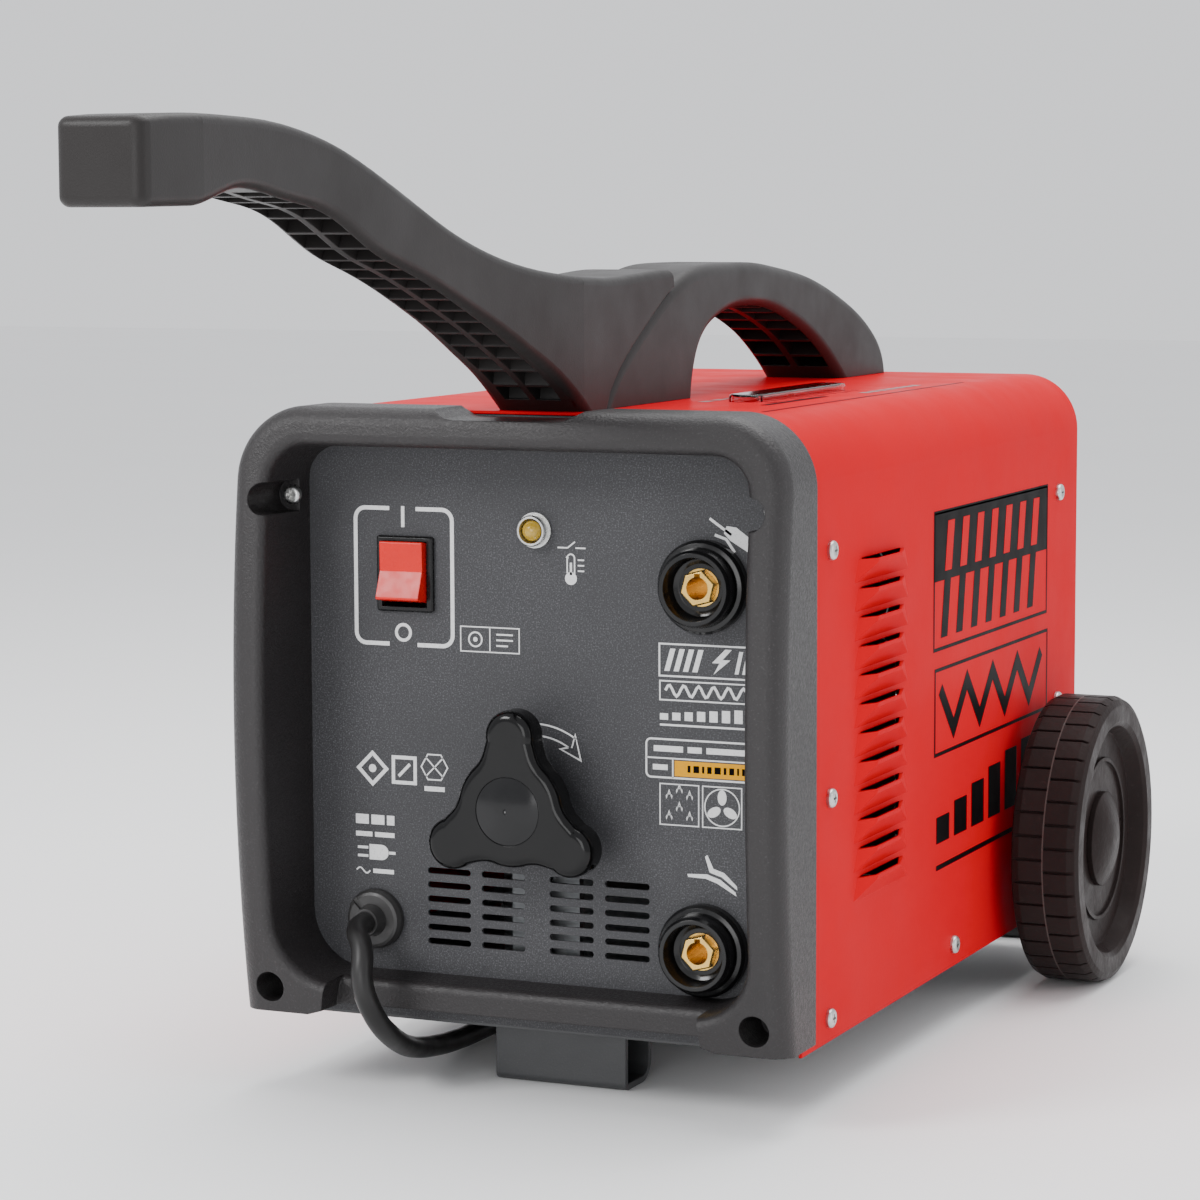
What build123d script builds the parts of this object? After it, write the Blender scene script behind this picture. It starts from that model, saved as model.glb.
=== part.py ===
from build123d import *
import os
from math import radians, degrees, tan, pi, cos, sin

os.makedirs("parts", exist_ok=True)

# ------------------------------------------------------------------
# Stick welder on two wheels. Millimetres, +Z up, front towards -Y.
# Every piece is drawn from one datum, the middle of the bottom edge of
# the front panel, and then shifted so that the origin is on the floor
# under the middle of the whole machine.
# ------------------------------------------------------------------
GROUND = 26.6            # gap between the case and the floor
SHIFT_Y = -24.0          # datum to the middle of the machine, along Y
CASE_W = 229.0           # case width
CASE_H = 253.0           # case height
CASE_D = 376.0           # case depth
SHEET = 1.2              # cover sheet
CASE_R = 26.0            # bend radius of the cover's top corners

FRAME_W = 241.0          # moulded front frame
FRAME_TOP = 255.0
FRAME_BOT = 6.0
FRAME_D = 40.0           # how far the frame stands in front of the panel
FRAME_BULGE = 760.0      # radius of the frame's bulged front
OPEN_W = 204.6           # opening at the panel
OPEN_TOP = 237.6
OPEN_BOT = 21.0

SOCKET_X = 73.3
SOCKET_Z = (185.6, 40.2)
SOCKET_BORE = 9.0
LED_Z = 205.5
KNOB_Z = 95.5
LEAD = 5.0               # travel of the shunt for one turn of the knob
TRAVEL = 40.0            # shunt travel each way
SWITCH_X, SWITCH_Z = -58.0, 185.8
GLAND_X, GLAND_Z = -73.0, 42.0

WHEEL_R = 66.8
WHEEL_Y, WHEEL_Z = 308.7, 40.2
WHEEL_IN, WHEEL_OUT = 123.4, 155.0
AXLE_D = 12.0

HANDLE_W = 40.0
LENS_X, LENS_Y0, LENS_Y1 = 52.0, 92.0, 206.0

CORD_D = 9.0

ORIGIN = Location((0, SHIFT_Y, GROUND))


def save(piece, name):
    """Label a finished piece, shift it to the machine's origin and write it."""
    piece.part.move(ORIGIN)
    piece.part.label = name
    export_step(piece.part, f"parts/{name}.step")
    solids = piece.part.solids()
    print(f"{name:22s} solids {len(solids)} volume {piece.part.volume / 1000:9.2f} cm3 valid {piece.part.is_valid}")


def front_plane(y):
    """Plane facing the front at a given depth: local x is X, local y is Z, and a positive extrude goes forward."""
    return Plane(origin=(0, y, 0), x_dir=(1, 0, 0), z_dir=(0, -1, 0))


def side_plane(x):
    """Plane facing right at a given X: local x is Y, local y is Z, and a positive extrude goes to +X."""
    return Plane(origin=(x, 0, 0), x_dir=(0, 1, 0), z_dir=(1, 0, 0))


def axis_plane(y, x, z):
    """Front-facing plane centred on an axis parallel to Y."""
    return Plane(origin=(x, y, z), x_dir=(1, 0, 0), z_dir=(0, -1, 0))


def dome(rim, radius, top):
    """Arc from a rim to the top of a dome whose centre is on the axis."""
    height = top - rim
    ball = (radius ** 2 + height ** 2) / (2 * height)
    half = radius / 2
    return ThreePointArc((rim, radius), (top - ball + (ball ** 2 - half ** 2) ** 0.5, half), (top, 0.0))



# side screws through the cover, as (y, z)
SIDE_SCREWS = [(31.1, 198.7), (31.1, 99.3), (31.1, 9.8), (190.0, 9.8), (344.7, 9.8), (344.7, 99.3), (344.7, 198.7)]
FRAME_SCREWS = [(-105.5, 217.5), (105.5, 217.5), (-106.5, 16.5), (106.5, 16.5)]
HANDLE_SCREWS = [(-11.0, 62.0), (11.0, 62.0), (-11.0, 100.0), (11.0, 100.0), (-11.0, 312.0), (11.0, 312.0), (-11.0, 329.0), (11.0, 329.0)]

# ------------------------------------------------------------------ cover
LOUVRE_Z0, LOUVRE_PITCH, LOUVRES = 191.9, 11.9, 12
LOUVRE_Y0, LOUVRE_Y1 = 64.8, 121.3
LOUVRE_H, LOUVRE_OUT = 9.6, 5.2

with BuildPart() as hood:
    # one pressed louvre on the right side, drawn with its opening at z = 0
    with BuildSketch(side_plane(CASE_W / 2 - 0.3)):
        with BuildLine():
            Polyline((LOUVRE_Y0 - 6, -LOUVRE_H), (LOUVRE_Y1 + 6, -LOUVRE_H), (LOUVRE_Y1 + 1, 0), (LOUVRE_Y0 - 1, 0), close=True)
        make_face()
    with BuildSketch(side_plane(CASE_W / 2 + LOUVRE_OUT)):
        with BuildLine():
            Polyline((LOUVRE_Y0 + 9, -1.6), (LOUVRE_Y1 - 17, -1.6), (LOUVRE_Y1 - 18, 0), (LOUVRE_Y0 + 10, 0), close=True)
        make_face()
    loft()

with BuildPart() as hood_space:
    with BuildSketch(side_plane(CASE_W / 2 - SHEET - 0.6)):
        with BuildLine():
            Polyline((LOUVRE_Y0 - 3, -LOUVRE_H + 2.6), (LOUVRE_Y1 + 3, -LOUVRE_H + 2.6), (LOUVRE_Y1, 0.0), (LOUVRE_Y0, 0.0), close=True)
        make_face()
    with BuildSketch(side_plane(CASE_W / 2 + LOUVRE_OUT - 1.1)):
        with BuildLine():
            Polyline((LOUVRE_Y0 + 10, -0.9), (LOUVRE_Y1 - 18, -0.9), (LOUVRE_Y1 - 18.5, 0.0), (LOUVRE_Y0 + 10.5, 0.0), close=True)
        make_face()
    loft()
    # the opening runs out of the top of the hood
    extrude(hood_space.faces().sort_by(Axis.Z)[-1], amount=0.4)

with BuildPart() as case_cover:
    with BuildSketch(front_plane(0)) as cover_profile:
        with BuildLine():
            h = CASE_W / 2
            Polyline((-h, 0), (-h, CASE_H), (h, CASE_H), (h, 0), (-h, 0))
        make_face()
        fillet(cover_profile.vertices().group_by(Axis.Y)[-1], CASE_R)
    extrude(amount=-CASE_D)
    with BuildSketch(front_plane(-1)) as cover_inside:
        with BuildLine():
            h = CASE_W / 2 - SHEET
            Polyline((-h, -1), (-h, CASE_H - SHEET), (h, CASE_H - SHEET), (h, -1), (-h, -1))
        make_face()
        fillet(cover_inside.vertices().group_by(Axis.Y)[-1], CASE_R - SHEET)
    extrude(amount=-CASE_D - 2, mode=Mode.SUBTRACT)
    for i in range(LOUVRES):
        lift = Location((0, 0, LOUVRE_Z0 - i * LOUVRE_PITCH))
        right = hood.part.moved(lift)
        add(right)
        add(right.mirror(Plane.YZ))
    for i in range(LOUVRES):
        lift = Location((0, 0, LOUVRE_Z0 - i * LOUVRE_PITCH))
        right = hood_space.part.moved(lift)
        add(right, mode=Mode.SUBTRACT)
        add(right.mirror(Plane.YZ), mode=Mode.SUBTRACT)
    # screw holes in both sides
    with BuildSketch(side_plane(-CASE_W / 2 - 8)):
        with Locations(*SIDE_SCREWS):
            Circle(2.1)
    extrude(amount=CASE_W + 16, mode=Mode.SUBTRACT)
    # axle slots, open at the bottom edge
    with BuildSketch(side_plane(-CASE_W / 2 - 8)):
        with Locations((WHEEL_Y, WHEEL_Z / 2 - 0.5)):
            Rectangle(AXLE_D + 2, WHEEL_Z + 1)
        with Locations((WHEEL_Y, WHEEL_Z)):
            Circle(AXLE_D / 2 + 1)
    extrude(amount=CASE_W + 16, mode=Mode.SUBTRACT)
    # pointer slot and handle screw holes in the top
    with BuildSketch(Plane.XY.offset(CASE_H - 8)):
        with Locations((LENS_X, (LENS_Y0 + LENS_Y1) / 2)):
            SlotOverall(LENS_Y1 - LENS_Y0 - 10, 6.0, rotation=90)
        with Locations(*HANDLE_SCREWS):
            Circle(2.3)
    extrude(amount=16, mode=Mode.SUBTRACT)
save(case_cover, "case_cover")

# ------------------------------------------------------------------ front panel
VENT_X = (-49.46, -24.98, 5.41, 29.93)
VENT_L, VENT_H, VENT_TOP, VENT_PITCH = 19.53, 2.6, 65.0, 5.873
PANEL_T = 1.5

with BuildPart() as front_panel:
    with BuildSketch(front_plane(0)) as panel_profile:
        with BuildLine():
            h = CASE_W / 2 - SHEET - 0.3
            t = CASE_H - SHEET - 0.3
            Polyline((-h, 1.9), (-h, t), (h, t), (h, 1.9), (-h, 1.9))
        make_face()
        fillet(panel_profile.vertices().group_by(Axis.Y)[-1], CASE_R - SHEET - 0.3)
    extrude(amount=-38)
    with BuildSketch(front_plane(PANEL_T)) as panel_inside:
        with BuildLine():
            h = CASE_W / 2 - SHEET - 0.3 - PANEL_T
            t = CASE_H - SHEET - 0.3 - PANEL_T
            Polyline((-h, 0), (-h, t), (h, t), (h, 0), (-h, 0))
        make_face()
        fillet(panel_inside.vertices().group_by(Axis.Y)[-1], CASE_R - SHEET - 0.3 - PANEL_T)
    extrude(amount=-40, mode=Mode.SUBTRACT)
    with BuildSketch(front_plane(-1)):
        for x0 in VENT_X:
            for row in range(6):
                with Locations((x0 + VENT_L / 2, VENT_TOP - VENT_H / 2 - row * VENT_PITCH)):
                    SlotOverall(VENT_L, VENT_H)
        with Locations((SWITCH_X, SWITCH_Z)):
            Rectangle(22.4, 28.4)
        with Locations((0, LED_Z)):
            Circle(5.0)
        with Locations((0, KNOB_Z)):
            Circle(6.5)
        with Locations((GLAND_X, GLAND_Z)):
            Circle(9.5)
        with Locations((SOCKET_X, SOCKET_Z[0]), (SOCKET_X, SOCKET_Z[1])):
            Circle(13.0)
        with Locations(*FRAME_SCREWS):
            Circle(2.2)
    extrude(amount=-5, mode=Mode.SUBTRACT)
    with BuildSketch(side_plane(-CASE_W / 2)):
        with Locations(*[p for p in SIDE_SCREWS if p[0] < 40]):
            Circle(2.0)
    extrude(amount=CASE_W, mode=Mode.SUBTRACT)
save(front_panel, "front_panel")

# ------------------------------------------------------------------ front frame
with BuildPart() as front_frame:
    w = FRAME_W / 2
    # outline seen from the front, with two low feet and the bar between them
    with BuildSketch(front_plane(0)) as frame_outline:
        with BuildLine():
            Polyline((-w, FRAME_BOT), (-w, FRAME_TOP), (w, FRAME_TOP), (w, FRAME_BOT), (90, FRAME_BOT), (80, FRAME_BOT + 3.0),
                     (-80, FRAME_BOT + 3.0), (-90, FRAME_BOT), (-w, FRAME_BOT))
        make_face()
        fillet(frame_outline.vertices().group_by(Axis.Y)[-1], 30)
    extrude(amount=FRAME_D + 5)
    # bulged front seen from the side
    with BuildSketch(Plane.YZ):
        with BuildLine():
            low = -FRAME_D + 135.0 ** 2 / (2 * FRAME_BULGE)
            arc = ThreePointArc((low, -5), (-FRAME_D, 130), (low, 265))
            Polyline(arc @ 1, (0, 265), (0, -5), arc @ 0)
        make_face()
    extrude(amount=150, both=True, mode=Mode.INTERSECT)
    outer = front_frame.edges().filter_by(lambda e: e.center().Y < -24 and (abs(e.center().X) > 95 or e.center().Z > 240) and e.center().Z > 15)
    try:
        fillet(outer, 8.5)
        print("frame outer fillet ok")
    except Exception as fault:
        print("frame outer fillet skipped", fault)
    # opening, drafted so that it widens to the front
    with BuildSketch(front_plane(0)) as opening:
        with BuildLine():
            o = OPEN_W / 2
            Polyline((-o, OPEN_BOT), (-o, OPEN_TOP), (o, OPEN_TOP), (o, OPEN_BOT), (-o, OPEN_BOT))
        make_face()
        fillet(opening.vertices().group_by(Axis.Y)[-1], 14)
        fillet(opening.vertices().group_by(Axis.Y)[0], 24)
    extrude(amount=FRAME_D + 5, taper=-3.5, mode=Mode.SUBTRACT)
    # the bottom bar is set back between the two posts
    with BuildSketch(front_plane(-17)) as setback:
        with BuildLine():
            Polyline((-86, -5), (-80, 28), (80, 28), (86, -5), (-86, -5))
        make_face()
    extrude(amount=40, mode=Mode.SUBTRACT)
    # soft outer and inner edges
    inner = front_frame.edges().filter_by(
        lambda e: e.center().Y < -24 and 90 < abs(e.center().X) < 109 and 25 < e.center().Z < 247
        or e.center().Y < -24 and abs(e.center().X) < 100 and 230 < e.center().Z < 247)
    try:
        fillet(inner, 4.5)
        print("frame inner fillet ok")
    except Exception as fault:
        print("frame inner fillet skipped", fault)
    bar = front_frame.edges().filter_by(lambda e: abs(e.center().Y + 17) < 0.6 and e.center().Z > 15 and abs(e.center().X) < 20)
    try:
        fillet(bar, 4.0)
        print("frame bar fillet ok")
    except Exception as fault:
        print("frame bar fillet skipped", fault)
    # shallow gap in the top rail under the tow arm
    with BuildSketch(front_plane(5)):
        with BuildLine():
            Polyline((-34, FRAME_TOP + 1), (-31, FRAME_TOP - 1), (-26, FRAME_TOP - 3.6), (-22, FRAME_TOP - 4.2), (22, FRAME_TOP - 4.2),
                     (26, FRAME_TOP - 3.6), (31, FRAME_TOP - 1), (34, FRAME_TOP + 1), close=True)
        make_face()
    extrude(amount=FRAME_D + 15, mode=Mode.SUBTRACT)
    # screw pockets: half-round at the top, deep round holes at the bottom
    with BuildSketch(front_plane(-8)):
        with Locations(*FRAME_SCREWS[:2]):
            Circle(6.6)
        with Locations(*FRAME_SCREWS[2:]):
            Circle(6.3)
        with Locations((-98, FRAME_SCREWS[0][1]), (98, FRAME_SCREWS[0][1])):
            Rectangle(15, 13.2)
    extrude(amount=FRAME_D, mode=Mode.SUBTRACT)
    with BuildSketch(front_plane(1)):
        with Locations(*FRAME_SCREWS):
            Circle(2.2)
    extrude(amount=FRAME_D, mode=Mode.SUBTRACT)
    # hollow back of the moulding: straight channels between the corners
    with BuildSketch(front_plane(0)):
        with Locations((-112, 120), (112, 120)):
            Rectangle(9, 150)
        with Locations((0, 245.0)):
            Rectangle(160, 5)
    extrude(amount=22, mode=Mode.SUBTRACT)
save(front_frame, "front_frame")

# ------------------------------------------------------------------ base and rear
with BuildPart() as base_plate:
    h = CASE_W / 2 - SHEET - 0.3
    with BuildSketch(Plane.XY.offset(0.3)):
        with Locations((0, CASE_D / 2)):
            Rectangle(2 * h, CASE_D - 4)
    extrude(amount=1.5)
    # upturned side flanges
    for side in (-1, 1):
        with BuildSketch(Plane.XY.offset(0.3)):
            with Locations((side * (h - 0.75), 188)):
                Rectangle(1.5, 294)
        extrude(amount=17)
    # air slots in the floor of the case
    with BuildSketch(Plane.XY.offset(-1)):
        with GridLocations(46, 12, 4, 4):
            with Locations((0, 95)):
                SlotOverall(34, 4)
        with Locations((-15, 35.5), (15, 35.5)):
            Circle(2.6)
        with Locations((-60, 106), (60, 106), (-60, 204), (60, 204)):
            Circle(2.6)
        with Locations((-96, 300), (-96, 318), (96, 300), (96, 318)):
            Circle(2.6)
    extrude(amount=6, mode=Mode.SUBTRACT)
    with BuildSketch(side_plane(-CASE_W / 2)):
        with Locations((190.0, 9.8)):
            Circle(2.0)
    extrude(amount=CASE_W, mode=Mode.SUBTRACT)
    # clear the axle slots
    with BuildSketch(side_plane(-CASE_W / 2)):
        with Locations((WHEEL_Y, 20)):
            Rectangle(AXLE_D + 4, 34)
    extrude(amount=4, mode=Mode.SUBTRACT)
    with BuildSketch(side_plane(CASE_W / 2 - 4)):
        with Locations((WHEEL_Y, 20)):
            Rectangle(AXLE_D + 4, 34)
    extrude(amount=4, mode=Mode.SUBTRACT)
save(base_plate, "base_plate")

FAN_Z = 150.0
with BuildPart() as rear_panel:
    with BuildSketch(front_plane(CASE_D)) as rear_profile:
        with BuildLine():
            h = CASE_W / 2 - SHEET - 0.3
            t = CASE_H - SHEET - 0.3
            Polyline((-h, 1.9), (-h, t), (h, t), (h, 1.9), (-h, 1.9))
        make_face()
        fillet(rear_profile.vertices().group_by(Axis.Y)[-1], CASE_R - SHEET - 0.3)
    extrude(amount=38)
    with BuildSketch(front_plane(CASE_D - 1.5)) as rear_inside:
        with BuildLine():
            h = CASE_W / 2 - SHEET - 0.3 - 1.5
            t = CASE_H - SHEET - 0.3 - 1.5
            Polyline((-h, 0), (-h, t), (h, t), (h, 0), (-h, 0))
        make_face()
        fillet(rear_inside.vertices().group_by(Axis.Y)[-1], CASE_R - SHEET - 0.3 - 1.5)
    extrude(amount=40, mode=Mode.SUBTRACT)
    # ring-shaped grille in front of the fan
    with BuildSketch(axis_plane(CASE_D + 1, 0, FAN_Z)):
        for r in (14, 26, 38, 50, 62):
            Circle(r)
            Circle(r - 6.5, mode=Mode.SUBTRACT)
        with PolarLocations(0, 4, start_angle=45):
            Rectangle(140, 5, mode=Mode.SUBTRACT)
    extrude(amount=4, mode=Mode.SUBTRACT)
    with BuildSketch(front_plane(CASE_D + 1)):
        with Locations((-52, FAN_Z - 52), (52, FAN_Z - 52), (-52, FAN_Z + 52), (52, FAN_Z + 52)):
            Circle(2.1)
        with GridLocations(26, 8, 6, 5):
            with Locations((0, 44)):
                SlotOverall(20, 3)
    extrude(amount=4, mode=Mode.SUBTRACT)
    with BuildSketch(side_plane(-CASE_W / 2)):
        with Locations(*[p for p in SIDE_SCREWS if p[0] > 340]):
            Circle(2.0)
    extrude(amount=CASE_W, mode=Mode.SUBTRACT)
save(rear_panel, "rear_panel")

# ------------------------------------------------------------------ screws
with BuildPart() as case_screws:
    for side in (-1, 1):
        face = Plane(origin=(side * CASE_W / 2, 0, 0), x_dir=(0, 1, 0), z_dir=(side, 0, 0))
        # local y is -Z on the left side, so the heights change sign there
        places = [(y, z * side) for y, z in SIDE_SCREWS]
        with BuildSketch(face):
            with Locations(*places):
                Circle(4.0)
        extrude(amount=2.4)
        with BuildSketch(face):
            with Locations(*places):
                Circle(1.9)
        extrude(amount=-9)
    heads = case_screws.edges().filter_by(GeomType.CIRCLE).filter_by(lambda e: abs(e.center().X) > CASE_W / 2 + 2.3)
    fillet(heads, 1.5)
    for side in (-1, 1):
        face = Plane(origin=(side * (CASE_W / 2 + 2.4), 0, 0), x_dir=(0, 1, 0), z_dir=(side, 0, 0))
        places = [(y, z * side) for y, z in SIDE_SCREWS]
        with BuildSketch(face):
            with Locations(*places):
                Rectangle(3.6, 0.9)
                Rectangle(0.9, 3.6)
        extrude(amount=-1.2, mode=Mode.SUBTRACT)
save(case_screws, "case_screws")

with BuildPart() as frame_screws:
    with BuildSketch(front_plane(-8)):
        with Locations(*FRAME_SCREWS):
            Circle(3.9)
    extrude(amount=2.6)
    fillet(frame_screws.edges().sort_by(Axis.Y)[:4], 1.6)
    with BuildSketch(front_plane(-8)):
        with Locations(*FRAME_SCREWS):
            Circle(1.9)
    extrude(amount=-14)
    with BuildSketch(front_plane(-10.6)):
        with Locations(*FRAME_SCREWS):
            Rectangle(3.6, 0.9)
            Rectangle(0.9, 3.6)
    extrude(amount=-1.3, mode=Mode.SUBTRACT)
save(frame_screws, "frame_screws")

# ------------------------------------------------------------------ carry handle and tow arm
ARCH_OUT = [(26.0, 253.0), (29.8, 260.0), (34.7, 264.8), (47.5, 274.4), (64.2, 284.2), (85.0, 295.5), (105.0, 303.5), (126.0, 308.2), (165.0, 309.8),
            (204.0, 309.0), (222.0, 307.3), (264.6, 302.0), (309.5, 291.2), (347.9, 276.5), (364.5, 263.5), (368.8, 253.0)]
ARCH_IN = [(119.3, 253.0), (121.2, 261.8), (128.8, 275.2), (138.7, 282.0), (148.6, 285.6), (165.6, 289.2), (188.4, 290.2), (211.9, 288.4),
           (236.0, 283.0), (261.5, 274.9), (281.0, 266.0), (303.0, 253.0)]
ARM_TOP = [(-328.0, 363.6), (-300.0, 365.2), (-267.0, 365.0), (-240.6, 363.9), (-216.7, 361.0), (-190.5, 355.6), (-163.3, 347.2), (-131.1, 335.8), (-109.8, 328.2),
           (-80.9, 319.6), (-51.7, 313.2), (-21.3, 309.1), (10.4, 306.8), (36.7, 306.0), (53.6, 306.4), (74.6, 307.6), (96.0, 308.0)]
ARM_LOW = [(-328.0, 335.0), (-293.0, 335.4), (-280.0, 337.8), (-266.5, 340.6), (-257.0, 341.0), (-246.0, 339.9), (-231.7, 337.6), (-209.4, 334.5), (-195.2, 331.0),
           (-181.9, 325.9), (-171.3, 321.4), (-161.5, 317.7), (-138.5, 311.4), (-112.6, 303.8), (-94.3, 297.6), (-67.0, 287.9), (-38.0, 276.0), (-20.0, 268.2), (-8.0, 261.8), (6.0, 253.0)]
WALL = 3.2               # wall of both mouldings


def radial_webs(centre, radius, start, stop, count, thick, length):
    """Angles of webs that run square to an arc, as (y, z, angle)."""
    places = []
    for i in range(count):
        a = start + (stop - start) * i / (count - 1)
        places.append((centre[0] + radius * cos(radians(a)), centre[1] + radius * sin(radians(a)), a))
    return places


with BuildPart() as carry_handle:
    with BuildSketch(side_plane(-HANDLE_W / 2)) as arch_face:
        with BuildLine():
            o = Polyline(*ARCH_OUT[:2])
            oc = Spline(*ARCH_OUT[1:])
            Line(oc @ 1, (303.0, 253.0))
            ic = Spline(*ARCH_IN[::-1])
            Line(ic @ 1, o @ 0)
        make_face()
    extrude(amount=HANDLE_W)
    soft = carry_handle.edges().filter_by(lambda e: abs(abs(e.center().X) - HANDLE_W / 2) < 0.1 and e.length > 150 and e.center().Z > 285)
    try:
        fillet(soft, 5.0)
        print("arch outer fillet ok", len(soft))
    except Exception as fault:
        print("arch outer fillet skipped", fault)
    # two open channels on the inside of the arch, with cross webs left standing
    for x0, x1 in ((-HANDLE_W / 2 + WALL, -1.6), (1.6, HANDLE_W / 2 - WALL)):
        with BuildSketch(side_plane(x0)) as channel:
            with BuildLine():
                co = Spline((92.0, 272.0), (105.0, 292.0), (126.0, 302.0), (165.0, 305.2), (204.0, 304.4), (264.6, 297.0), (309.5, 286.0), (337.0, 275.0), (352.0, 264.0))
                Polyline(co @ 1, (352.0, 259.0), (290.0, 259.0))
                ci = Spline((290.0, 259.0), (264.0, 270.0), (236.0, 279.0), (200.0, 284.0), (165.6, 284.0), (140.0, 275.0), (127.0, 259.0))
                Polyline(ci @ 1, (92.0, 259.0), co @ 0)
            make_face()
            for y, z, a in radial_webs((215.0, 190.0), 95.0, 28.0, 152.0, 14, 2.0, 60.0):
                with Locations(Location((y, z, 0), (0, 0, a))):
                    Rectangle(70.0, 2.0, mode=Mode.SUBTRACT)
        extrude(amount=x1 - x0, mode=Mode.SUBTRACT)
    with BuildSketch(Plane.XY.offset(252)):
        with Locations(*HANDLE_SCREWS):
            Circle(1.9)
    extrude(amount=7.5, mode=Mode.SUBTRACT)
save(carry_handle, "carry_handle")

with BuildPart() as tow_arm:
    with BuildSketch(side_plane(-HANDLE_W / 2)) as arm_face:
        with BuildLine():
            top = Spline(*ARM_TOP)
            Polyline(top @ 1, (110.0, 253.0), (6.0, 253.0))
            low = Spline(*ARM_LOW[1:][::-1])
            Polyline(low @ 1, (-328.0, 335.0), (-328.0, 363.6))
        make_face()
        # the rear end is cut to the front of the arch
        with BuildLine(mode=Mode.PRIVATE) as arch_line:
            o = Polyline(*ARCH_OUT[:2])
            oc = Spline(*ARCH_OUT[1:])
            Line(oc @ 1, o @ 0)
        add(make_face(arch_line.edges(), mode=Mode.PRIVATE), mode=Mode.SUBTRACT)
    extrude(amount=HANDLE_W)
    # plan of the arm: narrow along its length, wider at the root
    with BuildSketch(Plane.XY.offset(240)) as plan:
        with BuildLine():
            right = Spline((16.6, -290.0), (15.8, -262.0), (15.6, -150.0), (16.2, -85.0), (18.4, -38.0), (20.0, 4.0))
            Polyline(right @ 1, (20.0, 120.0), (-20.0, 120.0), (-20.0, 4.0))
            left = Spline((-20.0, 4.0), (-18.4, -38.0), (-16.2, -85.0), (-15.6, -150.0), (-15.8, -262.0), (-16.6, -290.0))
            Polyline(left @ 1, (-16.6, -330.0), (16.6, -330.0), right @ 0)
        make_face()
    extrude(amount=140, mode=Mode.INTERSECT)
    corners = tow_arm.edges().filter_by(Axis.Z).filter_by(lambda e: e.center().Y < -320)
    try:
        fillet(corners, 5.0)
        print("arm corner fillet ok", len(corners))
    except Exception as fault:
        print("arm corner fillet skipped", fault)
    rim = tow_arm.edges().filter_by(lambda e: e.center().Z > 300 and e.length > 60 and abs(e.center().X) > 10 and e.center().Y > -270)
    try:
        fillet(rim.filter_by(lambda e: (e @ 0.5).Z > 312 or e.length > 250), 3.5)
        print("arm rim fillet ok")
    except Exception as fault:
        print("arm rim fillet skipped", fault)
    # open underside: two channels either side of a centre rib, with cross webs
    for x0, x1 in ((-12.4, -1.4), (1.4, 12.4)):
        with BuildSketch(side_plane(x0)) as trough:
            with BuildLine():
                ct = Spline((-252.0, 352.0), (-240.0, 359.0), (-216.0, 356.5), (-190.5, 350.8), (-163.3, 342.6), (-131.1, 331.4), (-109.8, 323.6), (-80.9, 314.8),
                            (-51.7, 308.4), (-21.3, 304.4), (10.4, 302.4), (30.0, 301.6))
                Polyline(ct @ 1, (30.0, 262.0), (20.0, 258.0), (-6.0, 258.0), (-30.0, 262.0), (-90.0, 285.0), (-155.0, 306.0), (-200.0, 322.0), (-240.0, 330.0), (-252.0, 352.0))
            make_face()
            # cross webs square to the arm
            for y, z, a in [(-236.0, 340.0, 84), (-222.0, 340.0, 82), (-208.0, 338.0, 78), (-194.0, 334.0, 74), (-180.0, 328.0, 70), (-167.0, 322.0, 68), (-154.0, 317.0, 66),
                            (-141.0, 313.0, 66), (-128.0, 309.0, 66), (-115.0, 305.0, 67), (-102.0, 301.0, 68), (-89.0, 296.0, 69), (-76.0, 291.0, 70), (-63.0, 286.0, 71),
                            (-50.0, 282.0, 72), (-37.0, 278.0, 74), (-24.0, 274.0, 76), (-10.0, 272.0, 78), (5.0, 272.0, 82)]:
                with Locations(Location((y, z, 0), (0, 0, a))):
                    Rectangle(90.0, 1.8, mode=Mode.SUBTRACT)
        extrude(amount=x1 - x0, mode=Mode.SUBTRACT)
save(tow_arm, "tow_arm")

with BuildPart() as handle_screws:
    with BuildSketch(Plane.XY.offset(CASE_H - SHEET)):
        with Locations(*HANDLE_SCREWS):
            Circle(4.5)
    extrude(amount=-3.0)
    with BuildSketch(Plane.XY.offset(CASE_H - SHEET)):
        with Locations(*HANDLE_SCREWS):
            Circle(1.9)
    extrude(amount=SHEET + 6.0)
save(handle_screws, "handle_screws")

# ------------------------------------------------------------------ front foot
with BuildPart() as front_foot:
    with BuildSketch(side_plane(-29.3)) as foot_profile:
        with BuildLine():
            Polyline((22.0, 0.3), (49.0, 0.3), (49.0, -GROUND), (22.0, -GROUND), close=True)
        make_face()
        fillet(foot_profile.vertices().group_by(Axis.Y)[0].sort_by(Axis.X)[-1], 9.0)
        fillet(foot_profile.vertices().group_by(Axis.Y)[0].sort_by(Axis.X)[0], 3.0)
    extrude(amount=58.6)
    with BuildSketch(side_plane(-30.0)) as foot_inside:
        with BuildLine():
            Polyline((24.5, -2.2), (46.5, -2.2), (46.5, -GROUND + 2.5), (24.5, -GROUND + 2.5), close=True)
        make_face()
        fillet(foot_inside.vertices().group_by(Axis.Y)[0].sort_by(Axis.X)[-1], 6.5)
    extrude(amount=60.0, mode=Mode.SUBTRACT)
    with BuildSketch(Plane.XY.offset(-3)):
        with Locations((-15, 35.5), (15, 35.5)):
            Circle(2.6)
    extrude(amount=6, mode=Mode.SUBTRACT)
save(front_foot, "front_foot")

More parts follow.
